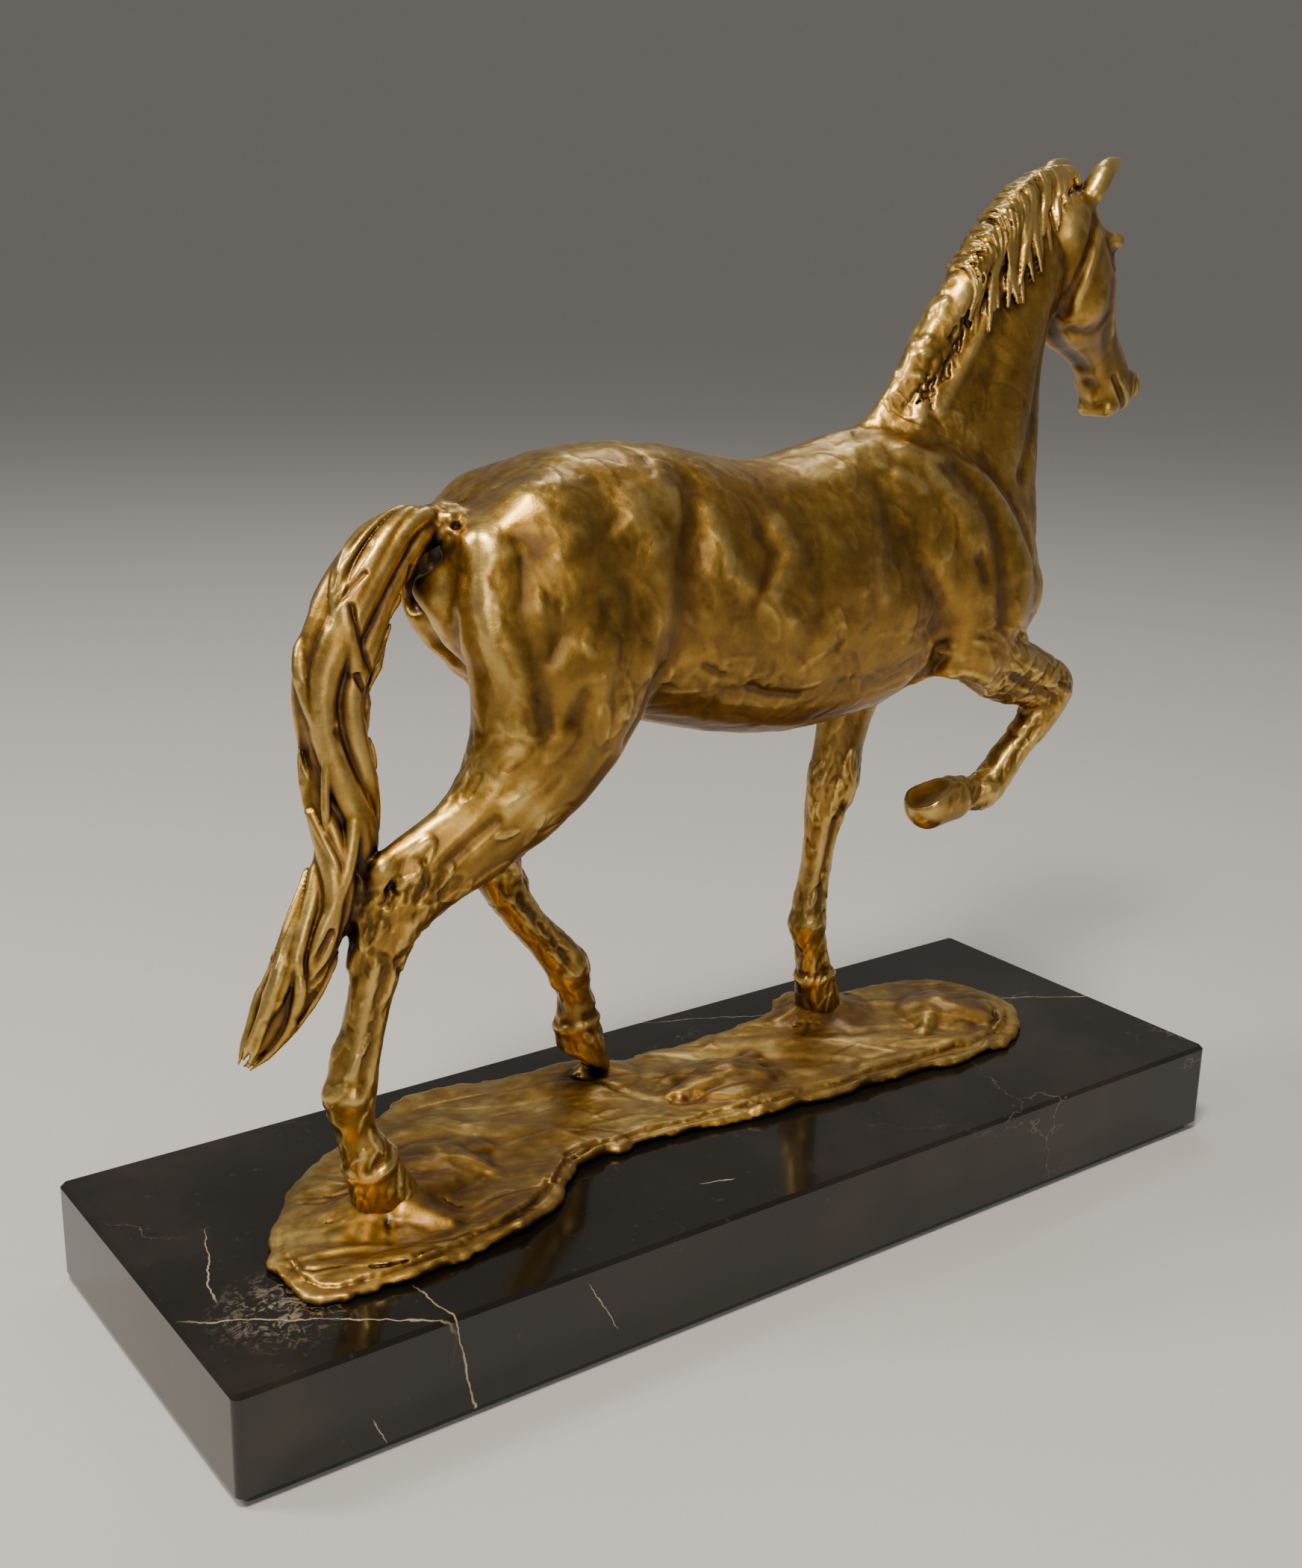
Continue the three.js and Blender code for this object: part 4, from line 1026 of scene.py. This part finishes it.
def sculpt_knees(rng):
    """The bent knee of the raised leg, the knee of the standing one, and their forearms."""
    brush([at(186, -26, 152), at(187, -26, 144)], 5.5, 1.2)
    # the raised hoof turns its hollow sole up and back, with the frog between the heels
    add([at(128, -24, 105), at(115, -24, 105)], [8.4, 9.6], 3.0)
    tilt = np.array((-0.40, 0.0, 0.917))
    hollow = [at(101, -25, 105) + tilt * 23, at(129, -25, 117) + tilt * 23]
    carve(hollow, [24.0, 24.0], 0.7)
    add([at(133, -25, 112), at(120, -25, 107.5)], [3.8, 2.6], 2.0)
    for side in MIRRORED:
        brush([at(150, -26 + side * 11, 170), at(168, -26 + side * 10, 160)], 4, 0.8)
        brush([at(146, -26 + side * 12, 160), at(164, -26 + side * 10, 152),
               at(176, -26 + side * 9, 146)], 2.2, -1.2)
        brush([at(104, 23 + side * 10, 112), at(103, 23 + side * 10, 101)], 3.0, 0.9)
    brush([at(150, -26, 149), at(165, -26, 145)], 4, 1.1)
    brush([at(111, 23, 110), at(111, 23, 100)], 4.5, 1.0)
    dabs((125, -45, 140), (196, -8, 185), 110, 7, 2.2, 0.5, (1, 0, -0.5), rng, scatter=0.3)
    dabs((88, 8, 112), (125, 40, 165), 50, 7, 2.2, 0.30, (0, 0, -1), rng, scatter=0.3)


# ==== The tail: places down its middle, with its half width and half depth ====

TAIL = [
    (-101, -1, 235, 7, 8), (-117, -2, 233, 9, 10), (-132, -3, 221, 10.5, 14), (-143, -5, 203, 11, 16),
    (-150, -7, 184, 10.5, 15), (-150, -10, 162, 10, 14), (-150, -14, 142, 9.5, 13), (-155, -18, 122, 9, 12),
    (-166, -20, 103, 8.5, 12), (-176, -21, 86, 7.5, 11), (-186, -21, 71, 5, 7), (-194, -21, 61, 1.5, 2),
]
TAIL_SINK = 2.4                         # the core lies this much under the locks that wrap it


def sculpt_tail(rng):
    """Thick locks that wave down the tail, over and under each other, with pits between them."""
    middle = curve_through([at(*row[:3]) for row in TAIL], 8)
    sizes = curve_through([(row[3], row[4], 0) for row in TAIL], 8)
    tangent = np.gradient(middle, axis=0)
    tangent /= np.linalg.norm(tangent, axis=1, keepdims=True)
    back = np.cross(SIDEWAYS, tangent)
    count = len(middle)

    def around(first, last, phase, reach, sway, turns):
        """A line that waves round the tail, from one share of its length to another."""
        span = np.arange(int(first * count), max(int(last * count), int(first * count) + 4))
        span = span[span < count]
        angle = phase + turns * 2 * math.pi * span / count
        angle = angle + 0.75 * np.sin(sway + 2 * math.pi * 1.7 * span / count)
        line = middle[span] + SIDEWAYS * (np.cos(angle) * sizes[span, 0] * reach)[:, None]
        line = line + back[span] * (np.sin(angle) * sizes[span, 1] * reach)[:, None]
        return line, sizes[span].mean(axis=1) * 1.5

    for layer, (number, reach, thick, shortest, longest) in enumerate((
            (8, 0.62, 0.36, 0.80, 0.95), (16, 0.76, 0.27, 0.22, 0.42), (26, 0.92, 0.15, 0.10, 0.24))):
        for i in range(number):
            first = rng.uniform(0.0, 0.05) if layer == 0 else rng.uniform(0.0, 0.80)
            last = min(first + rng.uniform(shortest, longest), 0.995)
            phase = 2 * math.pi * (i + rng.uniform(-0.3, 0.3)) / number * (1 if layer == 0 else 3)
            sway, turns = rng.uniform(0, 2 * math.pi) * layer, rng.uniform(0.5, 1.0)
            line, size = around(first, last, phase, reach, sway, turns)
            steps = np.arange(len(line))
            taper = np.clip(np.minimum(steps + 2, len(line) - steps) / 6, 0.12, 1)
            add(line, size * thick * rng.uniform(0.8, 1.15) * taper, 0.6)
    for _ in range(46):
        first = rng.uniform(0.10, 0.87)
        line, _ = around(first, first + rng.uniform(0.05, 0.16), rng.uniform(0, 2 * math.pi), 1.02,
                         rng.uniform(0, 6), rng.uniform(0.3, 1.2))
        brush(line, rng.uniform(0.8, 1.5), -rng.uniform(0.8, 2.2), sharp=True, lie=False)
    for _ in range(12):
        first = rng.uniform(0.14, 0.8)
        line, _ = around(first, first + 0.05, rng.uniform(0, 2 * math.pi), 0.98, 0, 0.8)
        brush(line, rng.uniform(2.2, 3.4), -rng.uniform(1.4, 2.6), lie=False)


# ==== Making the cast sections ====

FINE_ROUNDING = 1.5
BROAD_ROUNDING = 2.6
BROAD_ABOVE = (158, 182)                # between these heights the broad rounding takes over
BROAD_BEHIND = (160, 200)               # it ends again towards the head, and towards the tail
BROAD_AHEAD = (-113, -99)
GROWTH = 0.15                           # the clay starts this much outside the castings
TAIL_EDGE = (-0.5, 4.0)                 # the tail's core sinks in between these places past its seam
SEAM_UNDER = 0.1                        # a covered edge stops just past the seam
SEAM_LAP = 2.8                          # a covering edge runs on under its neighbour's surface
LAP_STARTS = (-2.0, 0.0)                # it rises a little before the seam, and dives past it
LAP_DIVES = (1.1, SEAM_LAP - 0.2)
LAP_RISE = 0.06
LAP_DIVE = 0.5
CAST_EDGES = [(1.1, 0.22), (2.8, 1.4)]  # ridges painted as worn patina and highlight, hollows as patina and shade: (blur, how far out counts as full)
# lowers the ridge measure that paints worn patina and highlight on ridges and darker patina and shade in
# hollows
PATINA_WEAR_AND_LIGHT_SHIFT = 0.35
HORSE_TOP = box("head_neck_casting")[1][2] - 0.02
GRAIN = [(16, 0.28, 11), (6, 0.10, 12), (2.4, 0.045, 13)]

NEIGHBOURS = {
    "body_casting": [name for name in HORSE if name != "body_casting"],
    "head_neck_casting": ["body_casting"],
    "right_foreleg_casting": ["body_casting"],
    "left_foreleg_casting": ["body_casting"],
    "right_hind_leg_casting": ["body_casting", "tail_casting"],
    "left_hind_leg_casting": ["body_casting"],
    "tail_casting": ["body_casting", "right_hind_leg_casting"],
}
LAPS_OVER = {name: ["body_casting"] for name in HORSE if name != "body_casting"}
LAPS_OVER["tail_casting"] = ["body_casting", "right_hind_leg_casting"]
LAPS_OVER["body_casting"] = []


def roundness(clay):
    """Where the surface is broad and smooth (1) and where it is bony and fine (0)."""
    x, _, z = clay.axes((0, 0, 0), clay.shape)
    above = smooth_step(SOLES + BROAD_ABOVE[0], SOLES + BROAD_ABOVE[1], z)
    return above * (1 - smooth_step(*BROAD_BEHIND, x)) * smooth_step(*BROAD_AHEAD, x)


def section(name, voxel):
    """The sculpted clay round one casting, cut off where its neighbours take over."""
    low, high = box(name)
    voxel = voxel * DRAFT
    clay = Clay(low - MARGIN, high + MARGIN, voxel)
    base = clay.distance_to(HORSE) - GROWTH
    if "tail_casting" in (name, *NEIGHBOURS[name]):
        others = [n for n in HORSE if n != "tail_casting"]
        on_tail = (clay.distance_to(others) - clay.distance_to(["tail_casting"])) / 2
        base += TAIL_SINK * smooth_step(*TAIL_EDGE, on_tail)
    broad = roundness(clay)
    clay.d = blurred(base, FINE_ROUNDING / voxel)
    if broad.max() > 0:
        clay.d += broad * (blurred(base, BROAD_ROUNDING / voxel) - clay.d)
    for stroke in STROKES:
        clay.apply(stroke)
    clay.note_edges(CAST_EDGES)
    own = clay.distance_to([name])
    over = LAPS_OVER[name]
    under = [n for n in NEIGHBOURS[name] if n not in over]
    if under:
        clay.d = np.maximum(clay.d, (own - clay.distance_to(under)) / 2 - SEAM_UNDER)
    if over:
        past = (own - clay.distance_to(over)) / 2
        dive = smooth_step(*LAP_DIVES, past) * (LAP_RISE + LAP_DIVE) - LAP_RISE
        clay.d = np.maximum(clay.d + dive * smooth_step(*LAP_STARTS, past), past - SEAM_LAP)
    return clay


def cast(name, voxel, material):
    """Makes the skin that stands for one casting."""
    clay = section(name, voxel)
    points, quads = clay.skin()
    normals = normals_of(points, quads)
    # ridges get worn patina and painted highlight, hollows darker patina and painted shade
    patina_wear_and_painted_light = np.clip(clay.patina_wear_and_painted_light(points) - PATINA_WEAR_AND_LIGHT_SHIFT, -1, 1)
    points = points + normals * layered(points, GRAIN)[:, None]
    points[:, 2] = np.minimum(points[:, 2], HORSE_TOP)
    obj = make_piece(name + "_skin", points, quads, material, patina_wear_and_painted_light)
    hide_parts(name)


sculpt_trunk(np.random.default_rng(7))
sculpt_head()
sculpt_mane(np.random.default_rng(19))
for number, places in enumerate(LEGS.values()):
    sculpt_leg(places, np.random.default_rng(31 + number))
sculpt_hocks(np.random.default_rng(41))
sculpt_knees(np.random.default_rng(42))
sculpt_tail(np.random.default_rng(43))

cast("body_casting", 0.95, BRONZE_SKIN)
cast("head_neck_casting", 0.6, BRONZE_SKIN)
cast("right_foreleg_casting", 0.6, BRONZE_SKIN)
cast("left_foreleg_casting", 0.6, BRONZE_FAR_LEGS_SHADED)
cast("right_hind_leg_casting", 0.6, BRONZE_SKIN)
cast("left_hind_leg_casting", 0.6, BRONZE_FAR_LEGS_SHADED)
cast("tail_casting", 0.6, BRONZE_TAIL)


# ==== Ground ====

# Smears and lips of clay: (places, width, height, sharp).
GROUND_MARKS = [
    ([(-186, -46), (-160, -58), (-120, -56), (-92, -48)], 5, 1.6, False),
    ([(-176, -42), (-150, -50), (-118, -48)], 2.0, -1.6, True),
    ([(-120, -44), (-104, -40), (-88, -44)], 1.3, -1.6, True),
    ([(-84, -40), (-74, -34), (-70, -24)], 3.0, 1.2, False),
    ([(-60, -22), (-64, -8), (-74, 4)], 5.0, 1.0, False),
    ([(-92, -30), (-84, -10), (-90, 10)], 5.0, -0.8, False),
    ([(-150, 8), (-120, 22), (-92, 24)], 6.0, 0.9, False),
    ([(-30, 22), (-20, 4), (-8, -20)], 2.0, -1.4, True),
    ([(-20, 24), (6, 8), (30, -6), (60, -24)], 4.5, 1.1, False),
    ([(16, 20), (44, 4), (76, -20)], 3.5, -0.9, False),
    ([(40, 22), (70, 6), (100, -12), (130, -34)], 5.0, 1.0, False),
    ([(80, -30), (110, -34), (150, -36)], 3.0, 1.1, False),
    ([(96, -4), (126, -14), (150, -26)], 3.0, -0.9, False),
    ([(130, 16), (154, 6), (172, -12)], 4.5, 1.0, False),
    ([(120, 24), (140, 12), (160, -8)], 2.6, -0.9, False),
]
# Layers of clay along the near edge, each a torn lip over the one below: (x, y) places.
GROUND_LIPS = [
    [(-188, -34), (-182, -50), (-164, -62), (-140, -66)],
    [(-150, -58), (-124, -60), (-100, -54), (-84, -44)],
    [(-78, -44), (-66, -41), (-52, -40)],
    [(14, -46), (30, -46), (58, -48)],
    [(44, -44), (80, -50), (112, -52), (142, -46)],
    [(120, -46), (150, -40), (170, -24)],
]
GROUND_VOXEL = 0.85
GROUND_MARGIN = 6                       # room round the plate, and above it
GROUND_HEADROOM = 12
GROUND_ROUNDING = 1.3
GROUND_CORE = 1.7                       # clay is never cut deeper than this into the plate
GROUND_FACE = 3.6                       # the plate's face is about this far under the highest swelling
GROUND_FOOT = 0.3                       # the clay ends this much above the plate's underside
GROUND_EDGES = [(1.2, 0.30), (2.8, 1.6)]
GROUND_GRAIN = [(7, 0.16, 21), (2.6, 0.07, 22)]
RAGGED = [(9, 1.0, 3), (3.5, 0.6, 4)]   # the outline's own lumps, and the face's
WAVES = [(34, 0.7, 1), (14, 0.3, 2)]
TEARS = [(26, 0.10, 8), (9, 0.05, 9), (3, 0.02, 10)]
LAYER_INSET = 0.74                      # share of plate nearby at the torn edge of the top layer
LAYER_SOFTNESS = 0.012
LAYER_STEP = 1.7
LAYER_NEARBY = 7.0
PLUG_RADIUS = 6.0
PLUG_BLEND = 1.5
PLUG_FOOT = 1.0                         # a plug reaches from here above the plate's underside
PLUG_TOP = 3.4                          # to here, or to just over the end of the stud or pin
PLUG_OVER = 0.5
# Strips smeared along with a thumb: (number, turn, sizes, length, width, rises).
SMEARS = [
    (170, 0.30, (0.5, 1.5), 24, 5.5, (-0.40, 0.50)),
    (130, 0.5, None, 8, 1.6, (-0.35, 0.30)),
]
SMEAR_HEADING = -0.35
SMEAR_X = (-190, 190)
SMEAR_Y = (-62, 42)
HOOF_SPREADS = (("right_hind_leg_casting", 13.0), ("left_foreleg_casting", 12.0))
HOOF_SQUASH = 0.85
UP = np.array((0, 0, 1.0))


def spoke(angle, squash=1.0):
    """A direction outwards, flattened across the statue."""
    return np.array((math.cos(angle), squash * math.sin(angle), 0.0))


def plugged(clay, bottom):
    """Closes the threaded and drilled holes, so that the skin is whole over them."""
    for name in STUDS + HOOF_PINS:
        x, y = middle_of(name)
        top = min(box(name)[1][2] + PLUG_OVER, bottom + PLUG_TOP)
        plug = np.array([(x, y, bottom + PLUG_FOOT), (x, y, top)])
        clay.apply(("add", plug, [PLUG_RADIUS] * 2, PLUG_BLEND))


def tear_lips(clay, bottom, top):
    """Torn lips: each line is drawn near the edge, and pulled to just inside it."""
    for lip in GROUND_LIPS:
        line = curve_through([(x, y + HORSE_CENTRE_Y, bottom + 3.0) for x, y in lip], 5)
        wobble = np.column_stack([lumps(line, 9, 70 + k) for k in range(3)])
        line = clay.onto_surface(line + wobble * (0.8, 2.5, 0.0), lift=-1.4)
        line[:, 2] = bottom + 3.4 + wobble[:, 2]
        clay.apply(("add", line, list(2.5 + 0.7 * wobble[:, 0]), 0.8))
        under = line + (0, -2.0, -2.8)
        clay.apply(("brush", under, 1.3, -1.8, True))
        above = line + np.column_stack([np.zeros(len(line)), 4.2 + wobble[:, 1], np.zeros(len(line))])
        above[:, 2] = top - GROUND_FACE
        clay.apply(("brush", above, 1.1, -1.4, True))


def bank_hoof(clay, leg, spread, rng):
    """Clay pressed up against a hoof, cracked where it meets it."""
    x, y, _ = LEGS[leg][4]
    for angle in np.linspace(0, 2 * math.pi, 16, endpoint=False):
        out = spoke(angle, HOOF_SQUASH)
        spot = at(x, y, rng.uniform(-3.4, -1.2)) + out * spread * rng.uniform(0.8, 1.05)
        end = spot + out * rng.uniform(6, 13) + (0, 0, -2.2)
        clay.apply(("add", np.array([spot, end]), [rng.uniform(2.6, 3.6), 1.6], 5.0))
    for _ in range(9):
        out = spoke(rng.uniform(0, 2 * math.pi), HOOF_SQUASH)
        start = at(x, y, -1.5) + out * spread
        crack = curve_through([start, start + out * 6 + rng.normal(0, 2, 3) * (1, 1, 0),
                               start + out * 13 + rng.normal(0, 4, 3) * (1, 1, 0) + (0, 0, -1.5)])
        clay.apply(("brush", crack, 0.9, -1.0, True))


def sculpt_ground(clay, bottom, top, rng):
    for places, width, height, sharp in GROUND_MARKS:
        line = curve_through([(x, y + HORSE_CENTRE_Y, top - 3) for x, y in places])
        clay.apply(("brush", line, width, height, sharp))
    tear_lips(clay, bottom, top)
    # strips of clay thrown over the swellings above the studs, so that they do not look like domes
    for name in STUDS:
        x, y = middle_of(name)
        for angle in rng.uniform(0, 2 * math.pi, 9):
            out = spoke(angle, 0.7)
            side = np.array((-out[1], out[0], 0)) * rng.uniform(-6, 6)
            start = np.array((x, y, top - 3.0)) + side + out * rng.uniform(0, 6)
            end = start + out * rng.uniform(14, 24) + (0, 0, -1.6)
            clay.apply(("add", np.array([start, end]), [rng.uniform(2.2, 2.9), 1.8], 5.0))
    for leg, spread in HOOF_SPREADS:
        bank_hoof(clay, leg, spread, rng)
    # the near hind hoof runs out into the ground in front of it
    for start, end in (((-137, -26, 1), (-117, -24, -3.5)), ((-140, -33, 0), (-129, -45, -4))):
        clay.apply(("add", np.array([at(*start), at(*end)]), [5.0, 2.8], 6.0))
    x, y, _ = LEGS["left_hind_leg_casting"][4]
    clay.apply(("add", np.array([at(x, y, -4), at(x + 1, y, 2.0)]), [5.5, 2.6], 2.5))
    for number, turn, sizes, length, width, rises in SMEARS:
        for _ in range(number):
            x, y = rng.uniform(*SMEAR_X), rng.uniform(*SMEAR_Y)
            along = spoke(rng.normal(SMEAR_HEADING, turn))
            size = rng.uniform(*sizes) if sizes else 1.0
            place = np.array((x, y + HORSE_CENTRE_Y, top - GROUND_FACE))
            clay.apply(("press", place, UP, along, length * size, width * size, rng.uniform(*rises)))


def make_ground():
    name = "ground_plate"
    voxel = GROUND_VOXEL * DRAFT
    low, high = box(name)
    bottom = low[2]
    clay = Clay(low - GROUND_MARGIN, high + (GROUND_MARGIN, GROUND_MARGIN, GROUND_HEADROOM), voxel)
    clay.d = clay.distance_to([name])
    plugged(clay, bottom)
    core = clay.d + GROUND_CORE
    clay.d = blurred(clay.d, GROUND_ROUNDING / voxel)
    sculpt_ground(clay, bottom, high[2], np.random.default_rng(5))
    x, y, z = clay.axes((0, 0, 0), clay.shape)
    flat = np.stack(np.broadcast_arrays(x[:, :, 0], y[:, :, 0]), axis=-1).reshape(-1, 2)
    flat = np.column_stack([flat, np.zeros(len(flat))])
    ragged, waves, tear = (
        layered(flat, layers).reshape(clay.d.shape[:2])[:, :, None] for layers in (RAGGED, WAVES, TEARS))
    # the edge is ragged, and the top only wavy: the slope of the distances tells them apart
    rise = np.gradient(clay.d, axis=2) / voxel
    edge = (1 - smooth_step(0.3, 0.8, rise)) * smooth_step(-2.5, -0.5, clay.d)
    above = smooth_step(bottom + 1.0, bottom + 5.0, z)
    clay.d += (ragged * edge + waves * above).astype(np.float32)
    # the top layer is torn off short of the near edge, and shows the layer under it
    plate = (core[:, :, clay.d.shape[2] // 3:].min(axis=2) < 0).astype(np.float32)[:, :, None]
    nearby = blurred(plate, LAYER_NEARBY / voxel)
    uncovered = 1 - smooth_step(LAYER_INSET - LAYER_SOFTNESS, LAYER_INSET + LAYER_SOFTNESS, nearby + tear)
    uncovered = uncovered * (1 - smooth_step(-24, 0, y))
    clay.d += (LAYER_STEP * uncovered * above).astype(np.float32)
    clay.d = np.minimum(clay.d, core)
    clay.d = np.maximum(clay.d, bottom + GROUND_FOOT - z)
    clay.note_edges(GROUND_EDGES)
    points, quads = clay.skin()
    normals = normals_of(points, quads)
    # the same ridge measure as on the horse: worn patina and painted highlight on ridges, patina and
    # painted shade in hollows
    patina_wear_and_painted_light = np.clip(clay.patina_wear_and_painted_light(points), -1, 1)
    height = layered(points, GROUND_GRAIN) * smooth_step(bottom + 0.5, bottom + 2.5, points[:, 2])
    points = points + normals * height[:, None]
    points[:, 2] = np.maximum(points[:, 2], bottom)
    obj = make_piece("ground_plate_skin", points, quads, BRONZE_GROUND, patina_wear_and_painted_light)
    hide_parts(name)


make_ground()


# ==== Pieces that keep their CAD shape ====

MARBLE = marble()
STEEL = plain_metal("steel", (0.62, 0.63, 0.65), 0.32, 900.0)
PIN = plain_metal("pin_bronze", (0.62, 0.55, 0.42), 0.35, 700.0)
FELT = felt()

for name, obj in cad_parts.items():
    if name == "marble_base":
        material = MARBLE
    elif name == "felt_sheet":
        material = FELT
    elif name.endswith("hoof_pin"):
        material = PIN
    elif name.endswith(("stud", "washer", "nut")):
        material = STEEL
    else:
        continue
    obj.data.materials.clear()
    obj.data.materials.append(material)


# ==== Studio ====

FLOOR_HALF = 40.0
FLOOR_COLOUR = (0.60, 0.59, 0.57, 1)
ROOM_COLOUR = (0.80, 0.76, 0.71, 1)
ROOM_STRENGTH = 0.27
BACKDROP_COLOUR = (0.552, 0.514, 0.464, 1)
BACKDROP_STRENGTH = 0.25
AIM = (0.0, 0.0, 0.22)
LIGHTS = [                              # name, place, size, power, colour
    ("key", (-0.60, -0.50, 1.75), (0.40, 0.40), 30, (1.0, 0.92, 0.80)),
    ("back_left", (-1.15, 0.60, 1.35), (0.35, 0.5), 13, (1.0, 0.95, 0.88)),
    ("fill", (-0.6, -1.9, 0.9), (1.1, 0.8), 9, (1.0, 0.92, 0.82)),
    ("rim", (0.8, 0.9, 1.9), (0.6, 0.6), 6, (0.88, 0.93, 1.0)),
]


def add_floor():
    mesh = bpy.data.meshes.new("floor")
    corner_signs = ((-1, -1), (1, -1), (1, 1), (-1, 1))
    mesh.from_pydata([(x * FLOOR_HALF, y * FLOOR_HALF, 0) for x, y in corner_signs], [], [(0, 1, 2, 3)])
    floor = bpy.data.objects.new("floor", mesh)
    bpy.context.collection.objects.link(floor)
    material, tree, shader = new_material("floor")
    feed(tree, shader, {"Base Color": FLOOR_COLOUR, "Roughness": 0.8})
    mesh.materials.append(material)


def add_light(name, place, size, power, colour):
    data = bpy.data.lights.new(name, "AREA")
    data.shape = "RECTANGLE"
    data.size, data.size_y = size
    data.energy = power
    data.color = colour
    light = bpy.data.objects.new(name, data)
    light.location = place
    light.rotation_euler = (Vector(AIM) - Vector(place)).to_track_quat("-Z", "Y").to_euler()
    bpy.context.collection.objects.link(light)


def add_world():
    world = bpy.data.worlds.new("studio")
    world.use_nodes = True
    tree = world.node_tree
    lit = tree.nodes["Background"]
    feed(tree, lit, {"Color": ROOM_COLOUR, "Strength": ROOM_STRENGTH})
    # seen directly, the room is as bright as the far floor, so that no horizon shows
    seen = node(tree, "ShaderNodeBackground", {"Color": BACKDROP_COLOUR, "Strength": BACKDROP_STRENGTH})
    by_camera = node(tree, "ShaderNodeLightPath").outputs["Is Camera Ray"]
    room = node(tree, "ShaderNodeMixShader", {0: by_camera, 1: lit.outputs[0], 2: seen.outputs[0]})
    feed(tree, tree.nodes["World Output"], {"Surface": room.outputs[0]})
    bpy.context.scene.world = world


add_floor()
for light in LIGHTS:
    add_light(*light)
add_world()
